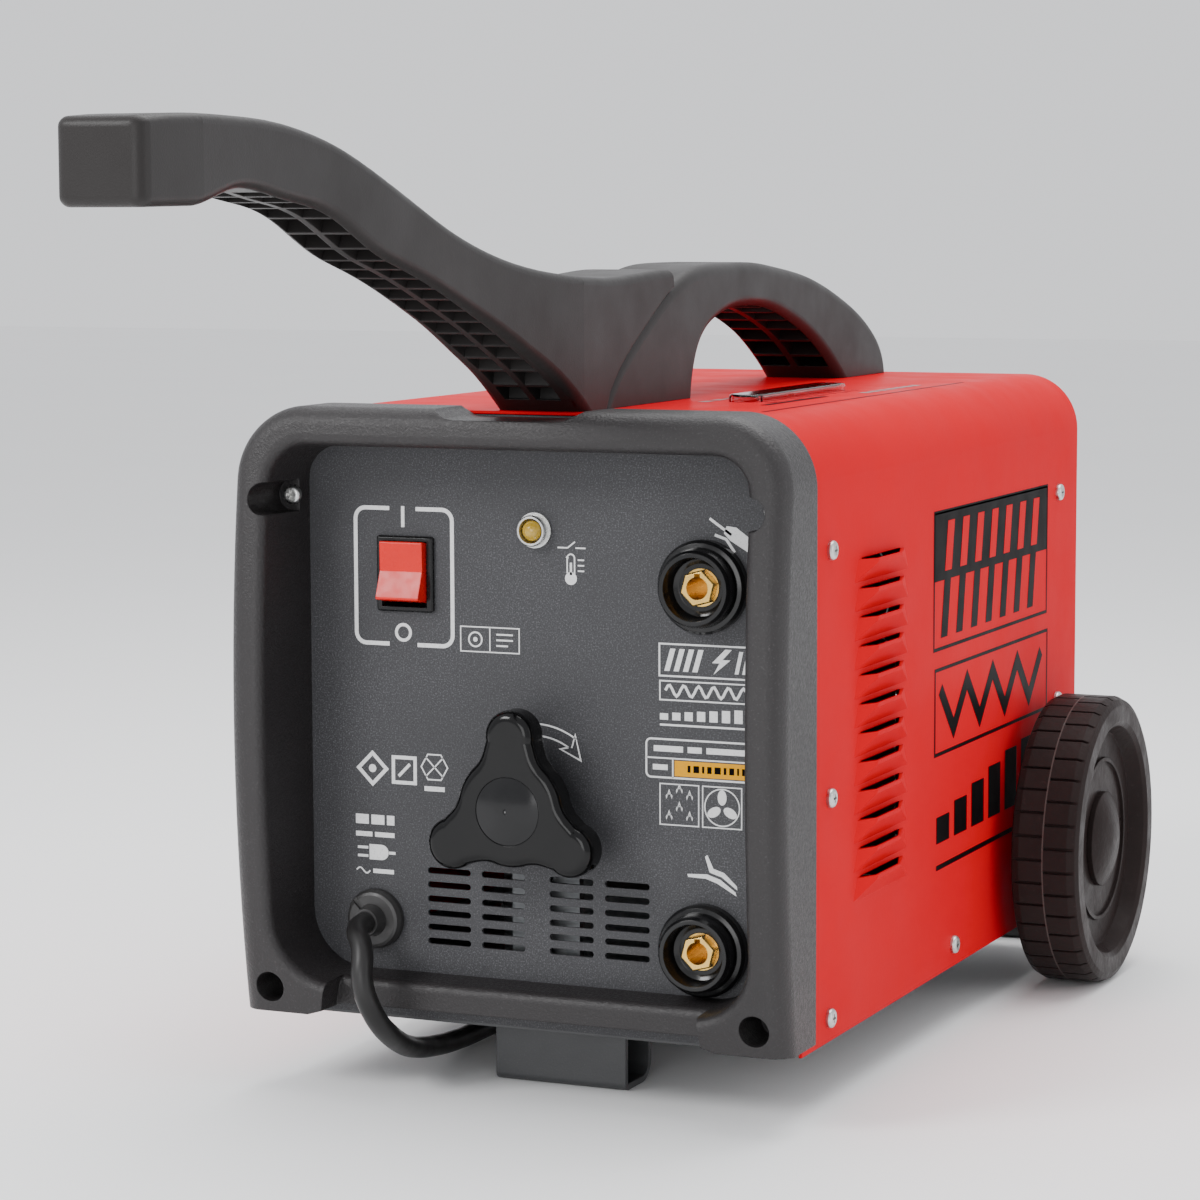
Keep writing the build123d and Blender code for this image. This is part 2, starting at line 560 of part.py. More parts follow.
with BuildPart() as foot_screws:
    with BuildSketch(Plane.XY.offset(-2.2)):
        with Locations((-15, 35.5), (15, 35.5)):
            Circle(4.6)
    extrude(amount=-3.0)
    with BuildSketch(Plane.XY.offset(-2.2)):
        with Locations((-15, 35.5), (15, 35.5)):
            Circle(2.45)
    extrude(amount=10.0)
    with BuildSketch(Plane.XY.offset(1.8)):
        with Locations((-15, 35.5), (15, 35.5)):
            RegularPolygon(4.6, 6)
    extrude(amount=4.0)
save(foot_screws, "foot_screws")

# ------------------------------------------------------------------ wheels and axle
LUGS = 39
for side, label in ((1, "wheel_right"), (-1, "wheel_left")):
    wheel_mid = (WHEEL_IN + WHEEL_OUT) / 2
    with BuildPart() as wheel:
        with BuildSketch(Plane(origin=(0, WHEEL_Y, WHEEL_Z), x_dir=(1, 0, 0), z_dir=(0, -1, 0))):
            with BuildLine():
                # half section: local x is X, local y is the radius
                Polyline((WHEEL_IN + 1.0, 6.05), (WHEEL_OUT - 9.0, 6.05), (WHEEL_OUT - 9.0, 17.0), (WHEEL_OUT - 8.0, 20.0), (WHEEL_OUT - 8.0, 50.0),
                         (WHEEL_OUT - 1.5, 53.0), (WHEEL_OUT, 55.0), (WHEEL_OUT, 62.5), (WHEEL_OUT - 1.2, 65.2), (WHEEL_OUT - 4.5, WHEEL_R), (WHEEL_IN + 4.5, WHEEL_R),
                         (WHEEL_IN + 1.2, 65.2), (WHEEL_IN, 62.5), (WHEEL_IN, 55.0), (WHEEL_IN + 1.5, 53.0), (WHEEL_IN + 8.0, 50.0), (WHEEL_IN + 8.0, 18.0), (WHEEL_IN + 1.0, 14.0), close=True)
            make_face()
        revolve(axis=Axis((0, WHEEL_Y, WHEEL_Z), (1, 0, 0)))
        # raised ring on the outer dish
        with BuildSketch(Plane(origin=(WHEEL_OUT - 8.2, WHEEL_Y, WHEEL_Z), x_dir=(0, 1, 0), z_dir=(1, 0, 0))):
            Circle(38.0)
            Circle(36.0, mode=Mode.SUBTRACT)
        extrude(amount=1.6)
        # staggered tread grooves, one row each side of the moulding seam
        with BuildSketch(Plane(origin=(wheel_mid + 0.35, WHEEL_Y, WHEEL_Z), x_dir=(0, 1, 0), z_dir=(1, 0, 0))):
            with PolarLocations(WHEEL_R, LUGS):
                Rectangle(3.0, 1.3)
        extrude(amount=WHEEL_OUT - wheel_mid, mode=Mode.SUBTRACT)
        with BuildSketch(Plane(origin=(wheel_mid - 0.35, WHEEL_Y, WHEEL_Z), x_dir=(0, 1, 0), z_dir=(1, 0, 0))):
            with PolarLocations(WHEEL_R, LUGS, start_angle=180.0 / LUGS):
                Rectangle(3.0, 1.3)
        extrude(amount=-(wheel_mid - WHEEL_IN), mode=Mode.SUBTRACT)
        if side < 0:
            mirror(about=Plane.YZ, mode=Mode.REPLACE)
    save(wheel, label)

for side, label in ((1, "wheel_cap_right"), (-1, "wheel_cap_left")):
    with BuildPart() as cap:
        with BuildSketch(Plane(origin=(0, WHEEL_Y, WHEEL_Z), x_dir=(1, 0, 0), z_dir=(0, -1, 0))):
            with BuildLine():
                Polyline((WHEEL_OUT - 8.0, 22.0), (WHEEL_OUT - 5.5, 22.0))
                dome(WHEEL_OUT - 5.5, 22.0, WHEEL_OUT - 0.2)
                Polyline((WHEEL_OUT - 0.2, 0.0), (WHEEL_OUT - 2.2, 0.0), (WHEEL_OUT - 3.6, 12.0), (WHEEL_OUT - 6.2, 18.5), (WHEEL_OUT - 8.0, 20.6), (WHEEL_OUT - 8.0, 22.0))
            make_face()
        revolve(axis=Axis((0, WHEEL_Y, WHEEL_Z), (1, 0, 0)))
        if side < 0:
            mirror(about=Plane.YZ, mode=Mode.REPLACE)
    save(cap, label)

AXLE_END = WHEEL_OUT - 5.0
with BuildPart() as axle:
    with BuildSketch(Plane(origin=(-AXLE_END, WHEEL_Y, WHEEL_Z), x_dir=(0, 1, 0), z_dir=(1, 0, 0))):
        Circle(AXLE_D / 2)
    extrude(amount=2 * AXLE_END)
    chamfer(axle.edges().filter_by(GeomType.CIRCLE), 0.8)
save(axle, "axle")

with BuildPart() as axle_spacers:
    for side in (-1, 1):
        with BuildSketch(Plane(origin=(side * (CASE_W / 2 + 0.3), WHEEL_Y, WHEEL_Z), x_dir=(0, 1, 0), z_dir=(side, 0, 0))):
            Circle(10.0)
            Circle(AXLE_D / 2, mode=Mode.SUBTRACT)
        extrude(amount=WHEEL_IN + 1.0 - CASE_W / 2 - 0.3 - 0.4)
save(axle_spacers, "axle_spacers")

with BuildPart() as axle_clips:
    for side in (-1, 1):
        with BuildSketch(Plane(origin=(side * (WHEEL_OUT - 8.6), WHEEL_Y, WHEEL_Z), x_dir=(0, 1, 0), z_dir=(side, 0, 0))):
            Circle(11.0)
            Circle(AXLE_D / 2, mode=Mode.SUBTRACT)
        extrude(amount=1.0)
save(axle_clips, "axle_clips")

with BuildPart() as axle_brackets:
    for side in (-1, 1):
        # upright plate and its foot on the base, on each side
        with BuildSketch(Plane(origin=(side * 94, 0, 0), x_dir=(0, 1, 0), z_dir=(1, 0, 0))):
            with BuildLine():
                Polyline((286, 1.8), (331.4, 1.8), (331.4, 40.2), (322, 56), (295, 56), (286, 40.2), close=True)
            make_face()
            with Locations((WHEEL_Y, WHEEL_Z)):
                Circle(AXLE_D / 2, mode=Mode.SUBTRACT)
        extrude(amount=side * 3.0)
        with BuildSketch(Plane.XY.offset(1.8)):
            with Locations((side * 96.5 + side * 3.5, 308.7)):
                Rectangle(13.0, 45.4)
            with Locations((side * 103.2, 300), (side * 103.2, 318)):
                Circle(2.6, mode=Mode.SUBTRACT)
        extrude(amount=3.0)
save(axle_brackets, "axle_brackets")

# ------------------------------------------------------------------ current knob, screw and moving shunt
with BuildPart() as current_knob:
    # three lobes joined by nearly straight flanks
    with BuildSketch(axis_plane(-15.5, 0, KNOB_Z)) as knob_shape:
        Circle(23.0)
        for k in range(3):
            a = radians(90 + 120 * k)
            tip = (29.6 * cos(a), 29.6 * sin(a))
            side = (13.4 * -sin(a), 13.4 * cos(a))
            with BuildLine():
                Polyline((0, 0), (10 * cos(a) + side[0] * 1.15, 10 * sin(a) + side[1] * 1.15), (tip[0] + side[0] * 0.74, tip[1] + side[1] * 0.74),
                         (tip[0] - side[0] * 0.74, tip[1] - side[1] * 0.74), (10 * cos(a) - side[0] * 1.15, 10 * sin(a) - side[1] * 1.15), close=True)
            make_face()
            with Locations(tip):
                Circle(10.6)
    extrude(amount=13.0)
    try:
        grooves = [e for e in current_knob.edges().filter_by(Axis.Y) if 21.5 < ((e.center().X) ** 2 + (e.center().Z - KNOB_Z) ** 2) ** 0.5 < 24.5]
        fillet(grooves, 14.0)
        print("knob groove fillet ok", len(grooves))
    except Exception as fault:
        print("knob groove fillet skipped", fault)
    try:
        fillet(current_knob.faces().sort_by(Axis.Y)[0].outer_wire().edges(), 4.0)
        print("knob rim fillet ok")
    except Exception as fault:
        print("knob rim fillet skipped", fault)
    try:
        fillet(current_knob.faces().sort_by(Axis.Y)[-1].outer_wire().edges(), 2.0)
        print("knob back fillet ok")
    except Exception as fault:
        print("knob back fillet skipped", fault)
    # hub behind the lobes, and the seat of the cap in front
    with BuildSketch(axis_plane(-15.5, 0, KNOB_Z)):
        Circle(13.5)
    extrude(amount=-13.3, taper=-3)
    with BuildSketch(axis_plane(-26.5, 0, KNOB_Z)):
        Circle(13.8)
    extrude(amount=4, mode=Mode.SUBTRACT)
    with BuildSketch(axis_plane(0, 0, KNOB_Z)):
        Circle(4.0)
    extrude(amount=24.0, mode=Mode.SUBTRACT)
save(current_knob, "current_knob")

with BuildPart() as knob_cap:
    with BuildSketch(Plane(origin=(0, 0, KNOB_Z), x_dir=(0, -1, 0), z_dir=(1, 0, 0))):
        with BuildLine():
            # half section: local x runs forward, local y is the radius
            Polyline((26.5, 0), (26.5, 13.6), (28.3, 13.6))
            dome(28.3, 13.6, 29.8)
            Line((29.8, 0.0), (26.5, 0))
        make_face()
    revolve(axis=Axis((0, 0, KNOB_Z), (0, 1, 0)))
save(knob_cap, "knob_cap")

SCREW_END = 246.0
with BuildPart() as leadscrew:
    with BuildSketch(axis_plane(SCREW_END, 0, KNOB_Z)):
        Circle(4.0)
    extrude(amount=SCREW_END + 24.0)
    # collar that stops the screw behind the front bearing
    with BuildSketch(axis_plane(17.5, 0, KNOB_Z)):
        Circle(8.0)
    extrude(amount=4.0)
    chamfer(leadscrew.edges().filter_by(GeomType.CIRCLE).sort_by(Axis.Y)[-1], 0.8)
save(leadscrew, "leadscrew")

GUIDE_Z = (KNOB_Z - 32.0, KNOB_Z + 32.0)
with BuildPart() as shaft_bearing:
    # upright that carries the screw and both guide rods behind the front panel
    with BuildSketch(front_plane(12.5)):
        with Locations((0, 71.5)):
            Rectangle(30, 139.4)
        with Locations((0, KNOB_Z)):
            Circle(4.05, mode=Mode.SUBTRACT)
        with Locations((0, GUIDE_Z[0]), (0, GUIDE_Z[1])):
            Circle(4.0, mode=Mode.SUBTRACT)
    extrude(amount=4.0)
    with BuildSketch(Plane.XY.offset(1.8)):
        with Locations((0, 20.5)):
            Rectangle(30, 16)
    extrude(amount=3.0)
save(shaft_bearing, "shaft_bearing")

with BuildPart() as rear_bearing:
    with BuildSketch(front_plane(244.0)):
        with Locations((0, 71.5)):
            Rectangle(30, 139.4)
        with Locations((0, KNOB_Z)):
            Circle(4.05, mode=Mode.SUBTRACT)
        with Locations((0, GUIDE_Z[0]), (0, GUIDE_Z[1])):
            Circle(4.0, mode=Mode.SUBTRACT)
    extrude(amount=4.0)
    with BuildSketch(Plane.XY.offset(1.8)):
        with Locations((0, 252.0)):
            Rectangle(30, 16)
    extrude(amount=3.0)
save(rear_bearing, "rear_bearing")

with BuildPart() as guide_rods:
    for z in GUIDE_Z:
        with BuildSketch(axis_plane(245.5, 0, z)):
            Circle(4.0)
        extrude(amount=245.5 - 7.5)
save(guide_rods, "guide_rods")

SHUNT_Y = 155.0
with BuildPart() as magnetic_shunt:
    # block of laminations that slides between the two coils
    with BuildSketch(front_plane(SHUNT_Y + 33.0)):
        with Locations((0, KNOB_Z)):
            Rectangle(34.0, 84.0)
        with Locations((0, KNOB_Z)):
            Circle(6.0, mode=Mode.SUBTRACT)
        with Locations((0, GUIDE_Z[0]), (0, GUIDE_Z[1])):
            Circle(4.06, mode=Mode.SUBTRACT)
    extrude(amount=66.0)
save(magnetic_shunt, "magnetic_shunt")

CARR_Y = 66.0
with BuildPart() as shunt_carriage:
    # front plate with two arms back to the shunt block
    with BuildSketch(front_plane(CARR_Y + 4.0)):
        with Locations((0, KNOB_Z)):
            Rectangle(34.0, 84.0)
        with Locations((0, 177.5)):
            Rectangle(20.0, 82.0)
        with Locations((23.0, 214.0)):
            Rectangle(66.0, 9.0)
        with Locations((0, KNOB_Z)):
            Circle(8.0, mode=Mode.SUBTRACT)
        with Locations((0, GUIDE_Z[0]), (0, GUIDE_Z[1])):
            Circle(5.0, mode=Mode.SUBTRACT)
    extrude(amount=4.0)
    for side in (-1, 1):
        with BuildSketch(front_plane(SHUNT_Y - 33.0)):
            with Locations((side * 14.0, KNOB_Z)):
                Rectangle(4.0, 30.0)
        extrude(amount=SHUNT_Y - 33.0 - CARR_Y - 4.0)
save(shunt_carriage, "shunt_carriage")

with BuildPart() as shunt_nut:
    with BuildSketch(axis_plane(CARR_Y + 16.0, 0, KNOB_Z)):
        RegularPolygon(9.2, 6, major_radius=False)
        Circle(4.05, mode=Mode.SUBTRACT)
    extrude(amount=12.0)
    with BuildSketch(axis_plane(CARR_Y + 4.0, 0, KNOB_Z)):
        Circle(8.0)
        Circle(4.05, mode=Mode.SUBTRACT)
    extrude(amount=8.0)
save(shunt_nut, "shunt_nut")

POINT_Y = (LENS_Y0 + LENS_Y1) / 2
with BuildPart() as pointer:
    # strip from the carriage to the window in the top, with a thin upright tip
    with BuildSketch(Plane.XY.offset(218.5)):
        with Locations((LENS_X, (CARR_Y + POINT_Y) / 2 + 0.5)):
            Rectangle(7.0, POINT_Y - CARR_Y + 3.0)
    extrude(amount=2.0)
    with BuildSketch(Plane.XY.offset(220.5)):
        with Locations((LENS_X, POINT_Y)):
            Rectangle(2.6, 1.8)
    extrude(amount=CASE_H + 1.0 - 220.5)
save(pointer, "pointer")

with BuildPart() as scale_window:
    # long clear cover over the slot, hollow underneath
    with BuildSketch(Plane.XY.offset(CASE_H)):
        with Locations((LENS_X, POINT_Y)):
            SlotOverall(LENS_Y1 - LENS_Y0, 15.0, rotation=90)
    extrude(amount=3.2)
    fillet(scale_window.faces().sort_by(Axis.Z)[-1].outer_wire().edges(), 1.4)
    with BuildSketch(Plane.XY.offset(CASE_H - 0.1)):
        with Locations((LENS_X, POINT_Y)):
            SlotOverall(LENS_Y1 - LENS_Y0 - 3.6, 11.0, rotation=90)
    extrude(amount=2.1, mode=Mode.SUBTRACT)
save(scale_window, "scale_window")

# ------------------------------------------------------------------ transformer
CORE_Y0, CORE_Y1 = 120.0, 190.0
CORE_Z0, CORE_Z1 = 20.5, 170.5
with BuildPart() as transformer_core:
    with BuildSketch(front_plane(CORE_Y1)):
        with Locations((0, KNOB_Z)):
            Rectangle(140.0, 150.0)
            Rectangle(80.0, 90.0, mode=Mode.SUBTRACT)
        with Locations((-55, 35.5), (55, 35.5), (-55, 155.5), (55, 155.5)):
            Circle(4.2, mode=Mode.SUBTRACT)
    extrude(amount=CORE_Y1 - CORE_Y0)
save(transformer_core, "transformer_core")

for side, label in ((-1, "primary_coil"), (1, "secondary_coil")):
    with BuildPart() as coil:
        with BuildSketch(Plane.XY.offset(53.5)):
            with Locations((side * 55.0, SHUNT_Y)):
                RectangleRounded(62.0, 102.0, 15.0)
                Rectangle(31.0, 71.0, mode=Mode.SUBTRACT)
        extrude(amount=84.0)
        # flanges of the bobbin
        for z in (51.5, 136.5):
            with BuildSketch(Plane.XY.offset(z)):
                with Locations((side * 55.0, SHUNT_Y)):
                    RectangleRounded(64.0, 104.0, 8.0)
                    Rectangle(31.0, 71.0, mode=Mode.SUBTRACT)
            extrude(amount=2.5)
    save(coil, label)

with BuildPart() as core_brackets:
    for y, back in ((CORE_Y0, -1), (CORE_Y1, 1)):
        with BuildSketch(front_plane(y if back < 0 else y + 3.0)):
            with Locations((0, 25.4)):
                Rectangle(140.0, 47.2)
            with Locations((-55, 35.5), (55, 35.5)):
                Circle(4.2, mode=Mode.SUBTRACT)
            # the guide for the lower rod passes above the bracket
            with Locations((0, 44.0)):
                Rectangle(44.0, 12.0, mode=Mode.SUBTRACT)
        extrude(amount=3.0)
        with BuildSketch(Plane.XY.offset(1.8)):
            with Locations((0, y + back * 13.0)):
                Rectangle(140.0, 22.0)
            with Locations((-60, 106 if back < 0 else 204), (60, 106 if back < 0 else 204)):
                Circle(2.6, mode=Mode.SUBTRACT)
        extrude(amount=3.0)
save(core_brackets, "core_brackets")

with BuildPart() as core_bolts:
    spots = [(-55, 35.5), (55, 35.5)]
    tops = [(-55, 155.5), (55, 155.5)]
    for group, y0, y1 in ((spots, CORE_Y0 - 3.0, CORE_Y1 + 3.0), (tops, CORE_Y0, CORE_Y1)):
        with BuildSketch(front_plane(y1 + 8.0)):
            with Locations(*group):
                Circle(4.0)
        extrude(amount=y1 - y0 + 16.0)
        with BuildSketch(front_plane(y0)):
            with Locations(*group):
                RegularPolygon(6.5, 6, major_radius=False)
        extrude(amount=6.0)
        with BuildSketch(front_plane(y1 + 6.0)):
            with Locations(*group):
                RegularPolygon(6.5, 6, major_radius=False)
        extrude(amount=6.0)
save(core_bolts, "core_bolts")

# ------------------------------------------------------------------ fan
with BuildPart() as fan_motor:
    with BuildSketch(axis_plane(338.0, 0, FAN_Z)):
        Circle(29.0)
    extrude(amount=34.0)
    fillet(fan_motor.edges().filter_by(GeomType.CIRCLE), 4.0)
    with BuildSketch(axis_plane(340.0, 0, FAN_Z)):
        Circle(11.0)
    extrude(amount=3.0)
    with BuildSketch(axis_plane(358.0, 0, FAN_Z)):
        Circle(2.5)
    extrude(amount=20.0)
save(fan_motor, "fan_motor")

with BuildPart() as fan_blades:
    with BuildSketch(axis_plane(360.0, 0, FAN_Z)):
        Circle(13.0)
    extrude(amount=17.0)
    # seven blades, each a thin plate set at a pitch of 38 degrees
    for k in range(7):
        spin = 360.0 / 7 * k
        with BuildSketch(Plane(origin=(0, 351.5, FAN_Z), x_dir=Vector(-sin(radians(spin)) * cos(radians(38)), sin(radians(38)), cos(radians(spin)) * cos(radians(38))),
                               z_dir=Vector(cos(radians(spin)), 0, sin(radians(spin))))):
            Rectangle(24.0, 1.6)
        extrude(amount=60.0)
    with BuildSketch(axis_plane(362.0, 0, FAN_Z)):
        Circle(2.55)
    extrude(amount=25.0, mode=Mode.SUBTRACT)
save(fan_blades, "fan_blades")

with BuildPart() as fan_bracket:
    # cross strap on four standoffs from the rear panel, with the motor in its middle
    with BuildSketch(front_plane(330.0)):
        with Locations((0, FAN_Z)):
            Rectangle(150.0, 14.0, rotation=45)
            Rectangle(150.0, 14.0, rotation=-45)
            Circle(36.0)
            Circle(29.0, mode=Mode.SUBTRACT)
        with Locations((-52, FAN_Z - 52), (52, FAN_Z - 52), (-52, FAN_Z + 52), (52, FAN_Z + 52)):
            Circle(9.0)
    extrude(amount=2.5)
    with BuildSketch(front_plane(CASE_D - 1.5)):
        with Locations((-52, FAN_Z - 52), (52, FAN_Z - 52), (-52, FAN_Z + 52), (52, FAN_Z + 52)):
            Circle(4.5)
    extrude(amount=CASE_D - 1.5 - 330.0)
save(fan_bracket, "fan_bracket")

# ------------------------------------------------------------------ front fittings
with BuildPart() as switch_housing:
    with BuildSketch(front_plane(0)):
        with Locations((SWITCH_X, SWITCH_Z)):
            RectangleRounded(25.4, 31.0, 1.2)
    extrude(amount=2.2)
    chamfer(switch_housing.faces().sort_by(Axis.Y)[0].outer_wire().edges(), 0.7)
    with BuildSketch(front_plane(0)):
        with Locations((SWITCH_X, SWITCH_Z)):
            Rectangle(22.2, 28.2)
    extrude(amount=-26.0)
    with BuildSketch(front_plane(-3.0)):
        with Locations((SWITCH_X, SWITCH_Z)):
            Rectangle(20.4, 27.0)
    extrude(amount=-20.0, mode=Mode.SUBTRACT)
    # spade terminals at the back
    with BuildSketch(front_plane(26.0)):
        with Locations((SWITCH_X, SWITCH_Z)):
            with GridLocations(12, 9, 2, 3):
                Rectangle(6.3, 0.8)
    extrude(amount=-8.0)
save(switch_housing, "switch_housing")

ROCK = 10.0
with BuildPart() as switch_rocker:
    # drawn level, then tipped about its pivot so that the top is pressed in
    with BuildSketch(side_plane(SWITCH_X - 9.6)) as rocker_face:
        with BuildLine():
            pts = [(-7.6, 12.0), (-5.2, 0.0), (-7.6, -12.0), (1.0, -12.0), (9.0, -5.0), (9.0, 5.0), (1.0, 12.0)]
            turned = []
            for y, z in pts:
                dy, a = y - 3.0, radians(-ROCK)
                turned.append((3.0 + dy * cos(a) - z * sin(a), SWITCH_Z + dy * sin(a) + z * cos(a)))
            Polyline(*turned, close=True)
        make_face()
    extrude(amount=19.2)
    # pivot stubs at both ends
    with BuildSketch(side_plane(SWITCH_X - 9.9)):
        with Locations((3.0, SWITCH_Z)):
            Circle(1.8)
    extrude(amount=19.8)
    fillet(switch_rocker.edges().filter_by(Axis.X).filter_by(lambda e: e.center().Y < -2), 0.9)
save(switch_rocker, "switch_rocker")

with BuildPart() as led_holder:
    with BuildSketch(Plane(origin=(0, 0, LED_Z), x_dir=(0, -1, 0), z_dir=(1, 0, 0))):
        with BuildLine():
            # half section: local x runs forward, local y is the radius
            Polyline((-14.0, 2.6), (-14.0, 4.9), (0, 4.9), (0, 7.2), (1.2, 7.2), (1.2, 6.3), (4.4, 6.3), (5.0, 5.8), (5.0, 5.1), (2.2, 4.2), (1.4, 4.2), (1.4, 2.6), close=True)
        make_face()
    revolve(axis=Axis((0, 0, LED_Z), (0, 1, 0)))
save(led_holder, "led_holder")

with BuildPart() as led_lens:
    with BuildSketch(Plane(origin=(0, 0, LED_Z), x_dir=(0, -1, 0), z_dir=(1, 0, 0))):
        with BuildLine():
            Polyline((-10.0, 0), (-10.0, 2.6), (1.4, 2.6), (1.4, 4.1), (3.6, 4.1))
            dome(3.6, 4.1, 6.4)
            Line((6.4, 0.0), (-10.0, 0))
        make_face()
    revolve(axis=Axis((0, 0, LED_Z), (0, 1, 0)))
save(led_lens, "led_lens")

with BuildPart() as led_nut:
    with BuildSketch(axis_plane(6.0, 0, LED_Z)):
        RegularPolygon(7.0, 6, major_radius=False)
        Circle(4.9, mode=Mode.SUBTRACT)
    extrude(amount=4.5)
save(led_nut, "led_nut")

for z, part_name in ((SOCKET_Z[0], "upper"), (SOCKET_Z[1], "lower")):
    with BuildPart() as shell:
        with BuildSketch(Plane(origin=(SOCKET_X, 0, z), x_dir=(0, -1, 0), z_dir=(1, 0, 0))):
            with BuildLine():
                # half section: local x runs forward, local y is the radius
                Polyline((-12.0, 7.6), (-12.0, 12.8), (0, 12.8), (0, 18.7), (3.6, 18.7), (5.2, 17.6), (5.6, 15.9), (11.6, 15.3), (13.0, 14.2), (13.0, 12.6), (5.0, 11.4),
                         (4.0, 9.4), (4.0, 7.6), close=True)
            make_face()
        revolve(axis=Axis((SOCKET_X, 0, z), (0, 1, 0)))
        # flat rubber-faced ring behind the panel
        with BuildSketch(axis_plane(4.5, SOCKET_X, z)):
            Circle(17.0)
            Circle(12.8, mode=Mode.SUBTRACT)
        extrude(amount=3.0)
    save(shell, f"socket_{part_name}_body")
    with BuildPart() as insert:
        with BuildSketch(axis_plane(-4.0, SOCKET_X, z)):
            RegularPolygon(7.5, 6, rotation=15)
        extrude(amount=4.2)
        chamfer(insert.faces().sort_by(Axis.Y)[0].outer_wire().edges(), 0.5)
        with BuildSketch(axis_plane(-4.0, SOCKET_X, z)):
            Circle(7.6)
        extrude(amount=-22.0)
        with BuildSketch(axis_plane(18.0, SOCKET_X, z)):
            Circle(5.0)
        extrude(amount=-16.0)
        # bore of the twist-lock plug, and its keyway
        with BuildSketch(axis_plane(-9.0, SOCKET_X, z)):
            Circle(SOCKET_BORE / 2)
        extrude(amount=-23.0, mode=Mode.SUBTRACT)
        with BuildSketch(axis_plane(-9.0, SOCKET_X, z)):
            with Locations((0, SOCKET_BORE / 2)):
                Rectangle(2.4, 2.6)
        extrude(amount=-17.0, mode=Mode.SUBTRACT)
    save(insert, f"socket_{part_name}_insert")

with BuildPart() as socket_nuts:
    for z in SOCKET_Z:
        with BuildSketch(axis_plane(26.0, SOCKET_X, z)):
            RegularPolygon(8.5, 6, major_radius=False)
            Circle(5.0, mode=Mode.SUBTRACT)
        extrude(amount=5.0)
save(socket_nuts, "socket_nuts")

# ------------------------------------------------------------------ cable entry and leads
with BuildPart() as cable_gland:
    with BuildSketch(Plane(origin=(GLAND_X, 0, GLAND_Z), x_dir=(0, -1, 0), z_dir=(1, 0, 0))):
        with BuildLine():
            Polyline((-8.0, 6.6), (-8.0, 9.4), (0, 9.4), (0, 12.4), (2.4, 12.4), (4.4, 11.4), (5.0, 10.2), (5.0, 6.6), close=True)
        make_face()
    revolve(axis=Axis((GLAND_X, 0, GLAND_Z), (0, 1, 0)))
    # slit that lets the grip close on the cable
    with BuildSketch(axis_plane(-3.6, GLAND_X, GLAND_Z)):
        with Locations(Location((-6.6, 6.6, 0), (0, 0, 135))):
            Rectangle(9.0, 2.2)
    extrude(amount=3.0, mode=Mode.SUBTRACT)
save(cable_gland, "cable_gland")

with BuildPart() as gland_clamp:
    with BuildSketch(axis_plane(7.5, GLAND_X, GLAND_Z)):
        RegularPolygon(13.0, 6, major_radius=False)
        Circle(9.4, mode=Mode.SUBTRACT)
    extrude(amount=6.0)
save(gland_clamp, "gland_nut")

with BuildPart() as strain_relief:
    # rubber sleeve round the cable, wide in the gland and tapering outwards
    with BuildSketch(Plane(origin=(GLAND_X, 0, GLAND_Z), x_dir=(0, -1, 0), z_dir=(1, 0, 0))):
        with BuildLine():
            Polyline((-14.0, CORD_D / 2), (-14.0, 6.6), (5.0, 6.6), (11.0, 5.5), (11.0, CORD_D / 2), close=True)
        make_face()
    revolve(axis=Axis((GLAND_X, 0, GLAND_Z), (0, 1, 0)))
save(strain_relief, "strain_relief")


def lead(points, radii, diameter):
    """Round lead along straight runs joined by tangent arcs."""
    with BuildPart() as body:
        with BuildLine() as path:
            FilletPolyline(*points, radius=radii)
        start = path.wires()[0]
        with BuildSketch(Plane(origin=start @ 0, z_dir=start % 0)):
            Circle(diameter / 2)
        sweep()
    ratio = body.part.volume / (pi * diameter ** 2 / 4 * start.length)
    print(f"lead length {start.length:.1f} volume ratio {ratio:.4f}")
    return body



# internal leads, fixed along their whole length
mains_leads = lead([(GLAND_X, -11.0, GLAND_Z), (GLAND_X, 34.0, GLAND_Z), (GLAND_X - 10, 56.0, 66.0), (GLAND_X - 10, 60.0, 120.0), (GLAND_X + 6, 50.0, 152.0), (SWITCH_X, 31.2, 164.0), (SWITCH_X, 31.2, 176.3)], [12, 18, 30, 14, 9], CORD_D)
save(mains_leads, "mains_leads")

weld_lead_up = lead([(SOCKET_X, 34.0, SOCKET_Z[0]), (SOCKET_X, 60.0, SOCKET_Z[0]), (67.0, 76.0, 156.0), (55.0, 82.0, 122.0), (55.0, 104.0, 122.0)], [14, 24, 12], 11.0)
weld_lead_low = lead([(SOCKET_X, 34.0, SOCKET_Z[1]), (SOCKET_X, 56.0, SOCKET_Z[1]), (66.0, 76.0, 54.0), (55.0, 86.0, 72.0), (55.0, 104.0, 72.0)], [16, 16, 10], 11.0)
with BuildPart() as weld_leads:
    add(weld_lead_up.part)
    add(weld_lead_low.part)
save(weld_leads, "weld_leads")

with BuildPart() as thermostat:
    # round thermal cut-out clamped on top of the primary coil
    with BuildSketch(Plane.XY.offset(139.0)):
        with Locations((-79.0, 155.0)):
            Circle(7.5)
    extrude(amount=5.0)
    with BuildSketch(Plane.XY.offset(144.0)):
        with Locations((-83.0, 155.0), (-75.0, 155.0)):
            Rectangle(0.8, 6.3)
    extrude(amount=7.0)
save(thermostat, "thermostat")

# ------------------------------------------------------------------ mains cord
FLOOR = -GROUND
LIE = FLOOR + CORD_D / 2 + 0.1        # centre of a cord that lies on the floor
COIL_X, COIL_Y = -6.0, 449.0
TURN_R = (47.5, 56.5)                 # two turns side by side
COIL_IN, COIL_OUT, COIL_H = 43.0, 61.0, 18.2
CORD_LENGTH = 2000.0

